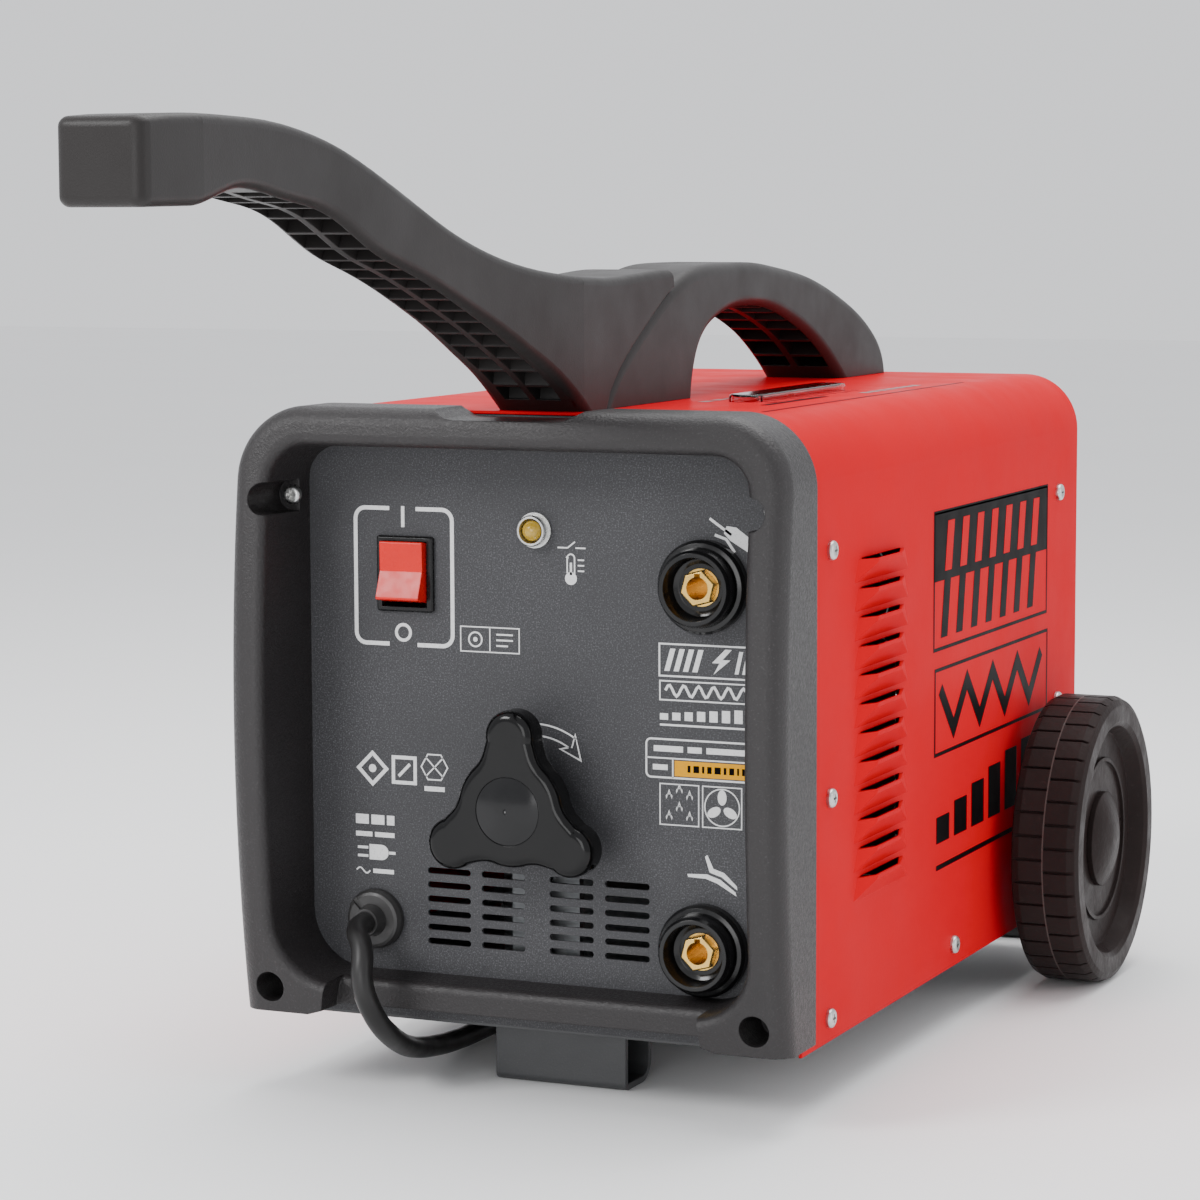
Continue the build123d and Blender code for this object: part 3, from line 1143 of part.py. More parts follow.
CORD_ROUTE = [(GLAND_X, -11.0, GLAND_Z), (-72.2, -22.5, 42.0), (-63.0, -31.5, 36.0), (-61.8, -37.3, 22.3), (-58.4, -30.7, 6.4), (-58.4, -15.4, -4.3),
              (-62.3, 5.8, -12.8), (-65.8, 30.2, -18.6), (-66.2, 59.6, LIE), (-66.0, 94.0, LIE), (-63.5, 132.0, LIE), (-66.5, 176.0, LIE), (-73.5, 222.0, LIE),
              (-79.0, 270.0, LIE), (-80.0, 320.0, LIE), (-74.5, 368.0, LIE), (-66.0, 404.0, LIE), (-61.5, 436.0, LIE)]
TAIL_ROUTE = [(12.0, 505.5, LIE + 9.0), (38.0, 504.0, LIE + 7.0), (62.0, 494.0, LIE + 3.0), (80.0, 478.0, LIE + 1.5), (88.0, 462.0, LIE + 3.5), (89.0, 446.0, LIE + 4.5)]


def corner_radii(points):
    """Radius for each corner: 0.45 of the shorter run over the tangent of half the turn."""
    radii = []
    for a, b, c in zip(points, points[1:], points[2:]):
        u, v = Vector(*b) - Vector(*a), Vector(*c) - Vector(*b)
        turn = radians(u.get_angle(v))
        radii.append(0.45 * min(u.length, v.length) / tan(turn / 2))
    return radii


for name, route in (("cord_run", CORD_ROUTE), ("cord_tail", TAIL_ROUTE)):
    radii = corner_radii(route)
    print(name, "radii", [round(r) for r in radii])
    cord = lead(route, radii, CORD_D)
    save(cord, name)

with BuildPart() as cord_coil:
    with BuildSketch(Plane.XY.offset(FLOOR)):
        with Locations((COIL_X, COIL_Y)):
            Circle(COIL_OUT)
            Circle(COIL_IN, mode=Mode.SUBTRACT)
    extrude(amount=COIL_H)
    fillet(cord_coil.edges(), 4.0)
save(cord_coil, "cord_coil")

PLUG_X, PLUG_Y = 89.0, 436.0          # where the cord enters the plug
PLUG_Z = LIE + 4.5
with BuildPart() as plug_body:
    # flat-backed three-pin plug lying on its back, pins up
    with BuildSketch(Plane.XY.offset(FLOOR)) as plug_outline:
        with BuildLine():
            Polyline((PLUG_X - 9, PLUG_Y), (PLUG_X - 24.5, PLUG_Y - 18), (PLUG_X - 24.5, PLUG_Y - 50), (PLUG_X + 24.5, PLUG_Y - 50), (PLUG_X + 24.5, PLUG_Y - 18), (PLUG_X + 9, PLUG_Y), close=True)
        make_face()
        fillet(plug_outline.vertices(), 5.0)
    extrude(amount=26.0, taper=4)
    fillet(plug_body.faces().sort_by(Axis.Z)[0].outer_wire().edges(), 2.5)
    # tapered boot over the cord
    with BuildSketch(Plane(origin=(PLUG_X, PLUG_Y - 2, PLUG_Z), x_dir=(1, 0, 0), z_dir=(0, 1, 0))):
        Circle(7.4)
    extrude(amount=12.0, taper=10)
save(plug_body, "plug_body")

with BuildPart() as plug_pins:
    with BuildSketch(Plane.XY.offset(FLOOR + 26.0)):
        with Locations((PLUG_X, PLUG_Y - 14.0)):
            Rectangle(3.95, 7.95)
    extrude(amount=22.7)
    with BuildSketch(Plane.XY.offset(FLOOR + 26.0)):
        with Locations((PLUG_X - 11.1, PLUG_Y - 36.2), (PLUG_X + 11.1, PLUG_Y - 36.2)):
            Rectangle(6.35, 3.95)
    extrude(amount=17.7)
    chamfer(plug_pins.faces().filter_by(lambda f: f.normal_at().Z > 0.99).edges(), 0.7)
save(plug_pins, "plug_pins")
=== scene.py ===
import bpy, bmesh, math, random
from mathutils import Vector, Matrix


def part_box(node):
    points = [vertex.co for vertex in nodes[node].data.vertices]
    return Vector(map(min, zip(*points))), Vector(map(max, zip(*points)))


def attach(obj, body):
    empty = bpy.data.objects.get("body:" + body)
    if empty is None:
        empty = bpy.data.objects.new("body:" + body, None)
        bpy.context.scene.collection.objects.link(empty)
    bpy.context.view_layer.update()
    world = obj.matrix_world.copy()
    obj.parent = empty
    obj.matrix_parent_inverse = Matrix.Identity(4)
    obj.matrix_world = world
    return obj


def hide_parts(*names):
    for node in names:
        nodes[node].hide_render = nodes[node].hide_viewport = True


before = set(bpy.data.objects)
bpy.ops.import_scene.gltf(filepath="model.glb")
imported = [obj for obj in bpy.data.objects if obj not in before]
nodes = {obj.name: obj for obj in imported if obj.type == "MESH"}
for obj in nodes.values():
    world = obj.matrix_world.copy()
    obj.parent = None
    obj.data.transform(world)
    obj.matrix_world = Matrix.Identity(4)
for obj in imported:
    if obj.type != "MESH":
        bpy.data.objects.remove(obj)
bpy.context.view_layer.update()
random.seed(7)


def at(x, y, z):
    """Millimetres from the foot of the front panel to metres in the row frame."""
    return Vector((x / 1000.0, (y - 24.0) / 1000.0, (z + 26.6) / 1000.0))


# ------------------------------------------------------------------ camera
YAW, PITCH, ROLL = 0.41412044522494385, 0.10845390298340009, -0.0034086788055341715
ca, sa = math.cos(YAW), math.sin(YAW)
cp, sp = math.cos(PITCH), math.sin(PITCH)
cr, sr = math.cos(ROLL), math.sin(ROLL)
right, ahead, up = Vector((ca, sa, 0)), Vector((-sa, ca, 0)), Vector((0, 0, 1))
look = ahead * cp - up * sp
top = up * cp + ahead * sp
cam_x = right * cr + top * sr
cam_y = top * cr - right * sr
cam_data = bpy.data.cameras.new("view")
cam_data.sensor_width = 36.0
cam_data.sensor_fit = "HORIZONTAL"
cam_data.lens = 3646.95 / 1200.0 * 36.0
cam_data.clip_start = 0.05
cam_data.clip_end = 30.0
cam = bpy.data.objects.new("view", cam_data)
bpy.context.scene.collection.objects.link(cam)
m = Matrix((cam_x, cam_y, -look)).transposed().to_4x4()
m.translation = Vector((0.610096, -1.347826, 0.362523))
cam.matrix_world = m
bpy.context.scene.camera = cam


# ------------------------------------------------------------------ node helpers
class Mat:
    """One procedural material, built up layer by layer."""

    def __init__(self, name, base, rough, metallic=0.0, **inputs):
        self.mat = bpy.data.materials.new(name)
        self.mat.use_nodes = True
        self.nt = self.mat.node_tree
        self.bsdf = self.nt.nodes["Principled BSDF"]
        self.bsdf.inputs["Base Color"].default_value = (*base, 1.0)
        self.bsdf.inputs["Roughness"].default_value = rough
        self.bsdf.inputs["Metallic"].default_value = metallic
        for key, value in inputs.items():
            self.bsdf.inputs[key.replace("_", " ")].default_value = value
        self.mat.diffuse_color = (*base, 1.0)
        self.base, self.rough = base, rough
        self.coord = self.nt.nodes.new("ShaderNodeTexCoord")
        self.color = None
        self.normal = None

    def n(self, kind):
        return self.nt.nodes.new(kind)

    def link(self, a, b):
        self.nt.links.new(a, b)

    def mapped(self, stretch=(1, 1, 1)):
        if tuple(stretch) == (1, 1, 1):
            return self.coord.outputs["Object"]
        mp = self.n("ShaderNodeMapping")
        mp.inputs["Scale"].default_value = stretch
        self.link(self.coord.outputs["Object"], mp.inputs["Vector"])
        return mp.outputs["Vector"]

    def noise(self, scale, detail=3.0, rough=0.55, stretch=(1, 1, 1)):
        t = self.n("ShaderNodeTexNoise")
        t.inputs["Scale"].default_value = scale
        t.inputs["Detail"].default_value = detail
        t.inputs["Roughness"].default_value = rough
        self.link(self.mapped(stretch), t.inputs["Vector"])
        return t.outputs["Fac"]

    def cells(self, scale, feature="F1", stretch=(1, 1, 1), out="Distance"):
        t = self.n("ShaderNodeTexVoronoi")
        t.feature = feature
        t.inputs["Scale"].default_value = scale
        self.link(self.mapped(stretch), t.inputs["Vector"])
        return t.outputs[out]

    def bands(self, scale, direction="Z", distortion=0.0, profile="SIN", kind="BANDS"):
        t = self.n("ShaderNodeTexWave")
        t.wave_type = kind
        t.wave_profile = profile
        if kind == "BANDS":
            t.bands_direction = direction
        else:
            t.rings_direction = direction
        t.inputs["Scale"].default_value = scale
        t.inputs["Distortion"].default_value = distortion
        t.inputs["Detail"].default_value = 1.0
        self.link(self.coord.outputs["Object"], t.inputs["Vector"])
        return t.outputs["Fac"]

    def ranged(self, fac, lo, hi, a, b):
        r = self.n("ShaderNodeMapRange")
        r.inputs["From Min"].default_value = lo
        r.inputs["From Max"].default_value = hi
        r.inputs["To Min"].default_value = a
        r.inputs["To Max"].default_value = b
        self.link(fac, r.inputs["Value"])
        return r.outputs["Result"]

    def tint(self, fac, colour, lo, hi, amount=1.0):
        """Mix towards a colour where fac goes from lo to hi."""
        mix = self.n("ShaderNodeMix")
        mix.data_type = "RGBA"
        if self.color is None:
            mix.inputs[6].default_value = (*self.base, 1.0)
        else:
            self.link(self.color, mix.inputs[6])
        mix.inputs[7].default_value = (*colour, 1.0)
        self.link(self.ranged(fac, lo, hi, 0.0, amount), mix.inputs[0])
        self.color = mix.outputs[2]
        self.link(self.color, self.bsdf.inputs["Base Color"])
        return self

    def rough_from(self, fac, lo, hi, a, b):
        self.link(self.ranged(fac, lo, hi, a, b), self.bsdf.inputs["Roughness"])
        return self

    def bump(self, fac, strength, distance):
        b = self.n("ShaderNodeBump")
        b.inputs["Strength"].default_value = strength
        b.inputs["Distance"].default_value = distance
        self.link(fac, b.inputs["Height"])
        if self.normal is not None:
            self.link(self.normal, b.inputs["Normal"])
        self.normal = b.outputs["Normal"]
        self.link(self.normal, self.bsdf.inputs["Normal"])
        return self

    def soften(self, radius):
        b = self.n("ShaderNodeBevel")
        b.samples = 4
        b.inputs["Radius"].default_value = radius
        self.normal = b.outputs["Normal"]
        self.link(self.normal, self.bsdf.inputs["Normal"])
        return self


def dim(c, k):
    return tuple(min(1.0, v * k) for v in c)


# ------------------------------------------------------------------ materials
RED = (0.560, 0.0, 0.0080)
red = Mat("red_powder_coat", RED, 0.42, Specular_IOR_Level=0.015)
red.soften(0.0005)
red.tint(red.noise(9.0, 2.0), dim(RED, 0.9), 0.35, 0.75, 0.5)
red.tint(red.noise(2600.0, 2.0), (0.66, 0.002, 0.010), 0.62, 0.75, 0.25)
red.rough_from(red.noise(40.0, 4.0), 0.3, 0.7, 0.34, 0.46)
red.bump(red.noise(620.0, 2.0), 0.10, 0.0004)

PANEL = (0.036, 0.036, 0.039)
panel = Mat("panel_speckled_coat", PANEL, 0.50, Specular_IOR_Level=0.30)
panel.soften(0.0003)
panel.tint(panel.noise(1500.0, 2.0, 0.7), (0.125, 0.125, 0.135), 0.52, 0.70, 0.85)
panel.tint(panel.noise(2100.0, 2.0, 0.7), (0.008, 0.008, 0.009), 0.55, 0.72, 0.7)
panel.tint(panel.noise(14.0, 3.0), dim(PANEL, 0.8), 0.4, 0.7, 0.5)
panel.rough_from(panel.noise(900.0, 2.0), 0.3, 0.7, 0.40, 0.58)
panel.bump(panel.noise(1300.0, 2.0, 0.6), 0.25, 0.0003)

BLACK = (0.0170, 0.0150, 0.0155)
moulding = Mat("moulding_grained", BLACK, 0.38, Specular_IOR_Level=0.36)
moulding.soften(0.0008)
moulding.tint(moulding.noise(1100.0, 3.0, 0.7), (0.080, 0.074, 0.078), 0.58, 0.76, 0.6)
moulding.tint(moulding.noise(7.0, 3.0), dim(BLACK, 0.75), 0.4, 0.75, 0.6)
moulding.rough_from(moulding.noise(700.0, 3.0, 0.7), 0.3, 0.7, 0.30, 0.52)
moulding.bump(moulding.noise(950.0, 3.0, 0.65), 0.55, 0.0006)

HANDLE = (0.0185, 0.0165, 0.0160)
handle = Mat("handle_satin", HANDLE, 0.40, Specular_IOR_Level=0.22)
handle.soften(0.0006)
handle.tint(handle.noise(6.0, 4.0), dim(HANDLE, 0.72), 0.35, 0.75, 0.7)
handle.tint(handle.noise(1600.0, 2.0), dim(HANDLE, 1.7), 0.60, 0.80, 0.35)
handle.rough_from(handle.noise(24.0, 5.0, 0.6), 0.3, 0.7, 0.34, 0.50)
handle.bump(handle.noise(1500.0, 2.0), 0.18, 0.0003)

knob_m = Mat("knob_gloss", (0.0022, 0.0022, 0.0024), 0.08, Coat_Weight=0.08, Coat_Roughness=0.04, Specular_IOR_Level=0.20)
knob_m.soften(0.0008)
knob_m.tint(knob_m.noise(30.0, 3.0), (0.005, 0.0047, 0.0047), 0.4, 0.8, 0.7)
knob_m.rough_from(knob_m.noise(90.0, 4.0), 0.35, 0.75, 0.07, 0.19)
knob_m.bump(knob_m.noise(160.0, 2.0), 0.05, 0.0004)

cap_m = Mat("knob_cap_gloss", (0.0055, 0.0055, 0.006), 0.16, Coat_Weight=0.08, Coat_Roughness=0.06, Specular_IOR_Level=0.24)
cap_m.tint(cap_m.noise(60.0, 3.0), (0.011, 0.011, 0.012), 0.4, 0.8, 0.6)
cap_m.rough_from(cap_m.noise(140.0, 3.0), 0.35, 0.75, 0.12, 0.26)

socket_m = Mat("socket_gloss", (0.0042, 0.0042, 0.0046), 0.16, Coat_Weight=0.10, Coat_Roughness=0.1, Specular_IOR_Level=0.30)
socket_m.soften(0.0005)
socket_m.tint(socket_m.noise(80.0, 3.0), (0.010, 0.0095, 0.0095), 0.4, 0.8, 0.6)
socket_m.rough_from(socket_m.noise(200.0, 3.0), 0.3, 0.7, 0.12, 0.26)

BRASS = (0.72, 0.47, 0.14)
brass = Mat("brass_turned", BRASS, 0.24, 1.0)
brass.soften(0.0003)
brass.tint(brass.noise(120.0, 3.0), (0.55, 0.33, 0.09), 0.4, 0.75, 0.7)
brass.rough_from(brass.noise(300.0, 3.0, stretch=(1, 0.1, 1)), 0.3, 0.7, 0.17, 0.36)
brass.bump(brass.bands(900.0, "Y"), 0.12, 0.0002)

ZINC = (0.62, 0.62, 0.60)
zinc = Mat("zinc_plate", ZINC, 0.30, 1.0)
zinc.soften(0.0002)
zinc.tint(zinc.noise(260.0, 3.0), (0.42, 0.43, 0.44), 0.35, 0.7, 0.7)
zinc.rough_from(zinc.noise(500.0, 3.0), 0.3, 0.7, 0.22, 0.42)
zinc.bump(zinc.noise(1400.0, 2.0), 0.15, 0.0001)

steel = Mat("turned_steel", (0.50, 0.50, 0.51), 0.28, 1.0)
steel.tint(steel.noise(60.0, 3.0, stretch=(1, 0.2, 1)), (0.33, 0.33, 0.34), 0.35, 0.7, 0.6)
steel.rough_from(steel.noise(200.0, 3.0), 0.3, 0.7, 0.2, 0.4)

screw_rod = Mat("lead_screw", (0.50, 0.49, 0.47), 0.3, 1.0)
screw_rod.tint(screw_rod.bands(125.0, "Y"), (0.16, 0.15, 0.14), 0.3, 0.7, 0.85)
screw_rod.bump(screw_rod.bands(125.0, "Y", profile="TRI"), 0.9, 0.0008)

# galvanised brackets, mostly inside the case: partly the dull grey of the sheet, partly painted shade, the base
# colour darkened further for the shadowed interior
galv = Mat("galvanised_sheet_shade_darkened", (0.30, 0.31, 0.32), 0.38, 0.9)
galv.tint(galv.cells(90.0, out="Color"), (0.20, 0.21, 0.22), 0.2, 0.9, 0.7)
galv.tint(galv.noise(12.0, 3.0), (0.24, 0.245, 0.25), 0.4, 0.7, 0.5)
galv.rough_from(galv.cells(90.0), 0.0, 0.8, 0.30, 0.48)

FOOT = (0.040, 0.041, 0.043)
foot = Mat("foot_powder_coat", FOOT, 0.42)
foot.soften(0.0006)
foot.tint(foot.noise(1500.0, 2.0), dim(FOOT, 1.9), 0.58, 0.75, 0.5)
foot.tint(foot.noise(25.0, 4.0), dim(FOOT, 0.7), 0.4, 0.7, 0.6)
foot.rough_from(foot.noise(60.0, 3.0), 0.3, 0.7, 0.34, 0.5)
foot.bump(foot.noise(1200.0, 2.0), 0.2, 0.0003)

WHEEL = (0.0230, 0.0165, 0.0158)
wheel = Mat("wheel_moulded", WHEEL, 0.30, Specular_IOR_Level=0.05)
wheel.soften(0.0008)
wheel.tint(wheel.noise(18.0, 5.0, 0.6), dim(WHEEL, 0.6), 0.35, 0.7, 0.8)
wheel.tint(wheel.noise(500.0, 3.0), dim(WHEEL, 2.0), 0.62, 0.8, 0.4)
wheel.rough_from(wheel.noise(70.0, 5.0, 0.65), 0.3, 0.7, 0.26, 0.5)
wheel.bump(wheel.noise(330.0, 4.0, 0.6), 0.35, 0.0006)
# paler line round the middle of the tread at the moulding seam: the seam is real, its paleness is a painted
# highlight where the seam ridge catches the light
low_w, high_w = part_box("wheel_right")
seam_x = (low_w[0] + high_w[0]) / 2
parts = wheel.n("ShaderNodeSeparateXYZ")
wheel.link(wheel.coord.outputs["Object"], parts.inputs[0])
side_x = wheel.n("ShaderNodeMath")
side_x.operation = "ABSOLUTE"
wheel.link(parts.outputs["X"], side_x.inputs[0])
off_x = wheel.n("ShaderNodeMath")
off_x.operation = "SUBTRACT"
off_x.inputs[1].default_value = seam_x
wheel.link(side_x.outputs[0], off_x.inputs[0])
seam_highlight_gap = wheel.n("ShaderNodeMath")
seam_highlight_gap.operation = "ABSOLUTE"
wheel.link(off_x.outputs[0], seam_highlight_gap.inputs[0])
# painted highlight: pale band along the seam line of the tread
wheel.tint(seam_highlight_gap.outputs[0], (0.085, 0.066, 0.062), 0.00042, 0.00024, 0.8)

core = Mat("laminated_core", (0.11, 0.105, 0.10), 0.5, 0.6)
core.tint(core.bands(310.0, "Y"), (0.04, 0.038, 0.036), 0.35, 0.65, 0.9)
core.tint(core.noise(30.0, 4.0), (0.17, 0.12, 0.08), 0.5, 0.75, 0.5)
core.bump(core.bands(310.0, "Y"), 0.7, 0.0004)

copper = Mat("varnished_winding", (0.42, 0.13, 0.045), 0.32, 0.75)
copper.tint(copper.bands(150.0, "Z", 0.3), (0.14, 0.04, 0.015), 0.2, 0.6, 0.9)
copper.tint(copper.noise(40.0, 3.0), (0.55, 0.22, 0.08), 0.5, 0.75, 0.5)
copper.bump(copper.bands(150.0, "Z", 0.3), 0.8, 0.0012)

motor = Mat("motor_shell", (0.30, 0.30, 0.31), 0.42, 0.9)
motor.tint(motor.noise(50.0, 3.0), (0.20, 0.20, 0.21), 0.4, 0.7, 0.7)
motor.bump(motor.noise(400.0, 2.0), 0.2, 0.0003)

fan_m = Mat("fan_plastic", (0.030, 0.030, 0.033), 0.45)
fan_m.tint(fan_m.noise(40.0, 3.0), (0.05, 0.05, 0.055), 0.4, 0.7, 0.6)
fan_m.rough_from(fan_m.noise(120.0, 3.0), 0.3, 0.7, 0.38, 0.55)

sw_black = Mat("switch_gloss_black", (0.0050, 0.0050, 0.0055), 0.22, Specular_IOR_Level=0.30)
sw_black.soften(0.0003)
sw_black.tint(sw_black.noise(90.0, 3.0), (0.012, 0.0115, 0.0115), 0.4, 0.7, 0.5)
sw_black.rough_from(sw_black.noise(300.0, 3.0), 0.3, 0.7, 0.18, 0.34)

SW_RED = (0.62, 0.012, 0.008)
sw_red = Mat("rocker_red", SW_RED, 0.26, Specular_IOR_Level=0.25, Subsurface_Weight=0.12, Subsurface_Scale=0.002)
sw_red.soften(0.0005)
sw_red.tint(sw_red.noise(60.0, 3.0), dim(SW_RED, 0.82), 0.4, 0.75, 0.5)
sw_red.rough_from(sw_red.noise(260.0, 3.0), 0.3, 0.7, 0.20, 0.34)

amber = Mat("amber_lens", (0.80, 0.50, 0.05), 0.12, Transmission_Weight=0.55, IOR=1.49)
amber.tint(amber.noise(220.0, 3.0), (0.93, 0.66, 0.12), 0.4, 0.75, 0.6)
amber.bump(amber.cells(900.0), 0.3, 0.0003)

lens_m = Mat("scale_window_clear", (0.88, 0.80, 0.81), 0.05, Transmission_Weight=1.0, IOR=1.30)
lens_m.tint(lens_m.noise(80.0, 3.0), (0.80, 0.66, 0.68), 0.4, 0.75, 0.6)
lens_m.rough_from(lens_m.noise(200.0, 3.0), 0.3, 0.7, 0.03, 0.08)

gland_m = Mat("gland_nylon", (0.0240, 0.0230, 0.0230), 0.42)
gland_m.soften(0.0004)
gland_m.tint(gland_m.noise(900.0, 3.0), (0.030, 0.028, 0.027), 0.58, 0.78, 0.6)
gland_m.rough_from(gland_m.noise(300.0, 3.0), 0.3, 0.7, 0.34, 0.5)
gland_m.bump(gland_m.noise(900.0, 2.0), 0.2, 0.0003)

CORD = (0.0120, 0.0112, 0.0112)
cord_m = Mat("cord_rubber", CORD, 0.40, Specular_IOR_Level=0.36)
cord_m.tint(cord_m.noise(35.0, 5.0, 0.6), dim(CORD, 0.6), 0.35, 0.7, 0.7)
cord_m.tint(cord_m.noise(1200.0, 2.0), dim(CORD, 2.0), 0.62, 0.8, 0.4)
cord_m.rough_from(cord_m.noise(90.0, 4.0), 0.3, 0.7, 0.32, 0.50)
cord_m.bump(cord_m.noise(1500.0, 2.0), 0.12, 0.0002)

lead_m = Mat("lead_insulation", (0.03, 0.03, 0.032), 0.5)
lead_m.tint(lead_m.noise(60.0, 3.0), (0.06, 0.06, 0.062), 0.4, 0.7, 0.6)
lead_m.bump(lead_m.noise(500.0, 2.0), 0.15, 0.0003)

phenol = Mat("phenolic", (0.10, 0.035, 0.018), 0.3)
phenol.tint(phenol.noise(200.0, 3.0), (0.05, 0.018, 0.01), 0.4, 0.7, 0.6)

INK = (0.62, 0.62, 0.62)
ink = Mat("white_print", INK, 0.55)
ink.tint(ink.noise(1400.0, 2.0, 0.7), (0.40, 0.40, 0.41), 0.50, 0.72, 0.6)
ink.rough_from(ink.noise(500.0, 2.0), 0.3, 0.7, 0.48, 0.62)

black_ink = Mat("black_print", (0.0030, 0.0022, 0.0024), 0.45, Specular_IOR_Level=0.02)
black_ink.tint(black_ink.noise(800.0, 2.0, 0.7), (0.008, 0.005, 0.0055), 0.5, 0.75, 0.6)
black_ink.rough_from(black_ink.noise(60.0, 3.0), 0.3, 0.7, 0.30, 0.42)

grey_ink = Mat("grey_print", (0.20, 0.13, 0.13), 0.4)
grey_ink.tint(grey_ink.noise(600.0, 2.0, 0.7), (0.34, 0.22, 0.22), 0.5, 0.75, 0.6)

yellow = Mat("yellow_strip", (0.62, 0.285, 0.0), 0.45, Specular_IOR_Level=0.15)
yellow.tint(yellow.noise(500.0, 2.0, 0.7), (0.52, 0.225, 0.0), 0.5, 0.75, 0.6)
yellow.rough_from(yellow.noise(90.0, 2.0), 0.3, 0.7, 0.38, 0.5)

LOOKS = {
    red: ["case_cover"],
    panel: ["front_panel", "rear_panel"],
    moulding: ["front_frame"],
    handle: ["carry_handle", "tow_arm"],
    knob_m: ["current_knob"],
    cap_m: ["knob_cap"],
    socket_m: ["socket_upper_body", "socket_lower_body"],
    brass: ["socket_upper_insert", "socket_lower_insert", "socket_nuts", "shunt_nut", "plug_pins"],
    zinc: ["case_screws", "frame_screws", "handle_screws", "foot_screws", "axle_clips", "axle_spacers", "core_bolts", "led_holder", "led_nut"],
    steel: ["axle", "guide_rods"],
    screw_rod: ["leadscrew"],
    galv: ["axle_brackets", "core_brackets", "shaft_bearing", "rear_bearing", "shunt_carriage", "fan_bracket"],
    foot: ["front_foot", "base_plate"],
    wheel: ["wheel_right", "wheel_left", "wheel_cap_right", "wheel_cap_left"],
    core: ["transformer_core", "magnetic_shunt"],
    copper: ["primary_coil", "secondary_coil"],
    motor: ["fan_motor"],
    fan_m: ["fan_blades"],
    sw_black: ["switch_housing"],
    sw_red: ["switch_rocker", "pointer"],
    amber: ["led_lens"],
    lens_m: ["scale_window"],
    gland_m: ["cable_gland", "gland_nut", "strain_relief", "plug_body"],
    lead_m: ["mains_leads", "weld_leads"],
    phenol: ["thermostat"],
    cord_m: ["cord_run", "cord_coil", "cord_tail"],
}
dressed = set()
for look_of, names in LOOKS.items():
    for name in names:
        mesh = nodes[name].data
        mesh.materials.clear()
        mesh.materials.append(look_of.mat)
        dressed.add(name)
left_bare = sorted(set(nodes) - dressed)
if left_bare:
    raise RuntimeError("no look for " + ", ".join(left_bare))

# ------------------------------------------------------------------ mains cord
FLOOR = -26.6
LIE = FLOOR + 4.6
COIL_X, COIL_Y = -6.0, 449.0
RUN = [(-73.0, -11.0, 42.0), (-72.2, -22.5, 42.0), (-63.0, -31.5, 36.0), (-61.8, -37.3, 22.3), (-58.4, -30.7, 6.4), (-58.4, -15.4, -4.3),
       (-62.3, 5.8, -12.8), (-65.8, 30.2, -18.6), (-66.2, 59.6, LIE), (-66.0, 94.0, LIE), (-63.5, 132.0, LIE), (-66.5, 176.0, LIE), (-73.5, 222.0, LIE),
       (-79.0, 270.0, LIE), (-80.0, 320.0, LIE), (-74.5, 368.0, LIE), (-66.0, 404.0, LIE), (-61.5, 436.0, LIE)]
TAIL = [(12.0, 505.5, LIE + 9.0), (38.0, 504.0, LIE + 7.0), (62.0, 494.0, LIE + 3.0), (80.0, 478.0, LIE + 1.5), (88.0, 462.0, LIE + 3.5), (89.0, 446.0, LIE + 4.5)]


def between(t, t0, t1, a, b):
    k = min(1.0, max(0.0, (t - t0) / (t1 - t0)))
    return a + (b - a) * k


def coil_turns():
    """Turns of the put-away length: outer, inner, inner on top, outer on top."""
    points = []
    step = 360.0 / 14
    t = step * 0.75
    while t < 1543.0 - 10.0:
        radius = between(t, 300, 360, 56.5, 47.5) if t < 900 else between(t, 913, 973, 47.5, 56.5)
        lift = between(t, 613, 673, 0.0, 9.0)
        if t > 1315:
            radius = between(t, 1315, 1370, 56.5, 52.0) if t < 1480 else between(t, 1480, 1540, 52.0, 59.0)
            lift = between(t, 1315, 1370, 9.0, 16.8) if t < 1480 else between(t, 1480, 1545, 16.8, 10.5)
        a = math.radians(193.0 - t)
        r = radius / 0.975
        points.append((COIL_X + r * math.cos(a), COIL_Y + r * math.sin(a), LIE + lift))
        t += step
    return points


def cord_piece():
    data = bpy.data.curves.new("mains_cord", "CURVE")
    data.dimensions = "3D"
    data.resolution_u = 12
    data.bevel_depth = 0.0045
    data.bevel_resolution = 6
    data.use_fill_caps = True
    spline = data.splines.new("NURBS")
    points = RUN + coil_turns() + TAIL
    spline.points.add(len(points) - 1)
    for p, (x, y, z) in zip(spline.points, points):
        p.co = (*at(x, y, z), 1.0)
    spline.order_u = 3
    spline.use_endpoint_u = True
    obj = bpy.data.objects.new("mains_cord", data)
    bpy.context.scene.collection.objects.link(obj)
    data.materials.append(cord_m.mat)
    return obj


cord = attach(cord_piece(), "chassis")
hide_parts("cord_run", "cord_coil", "cord_tail")


# ------------------------------------------------------------------ flat prints
def mesh_piece(name, verts, faces, look, body="chassis", smooth=False):
    mesh = bpy.data.meshes.new(name)
    mesh.from_pydata([tuple(v) for v in verts], [], faces)
    mesh.validate()
    if smooth:
        for f in mesh.polygons:
            f.use_smooth = True
    mesh.materials.append(look.mat)
    obj = bpy.data.objects.new(name, mesh)
    bpy.context.scene.collection.objects.link(obj)
    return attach(obj, body)


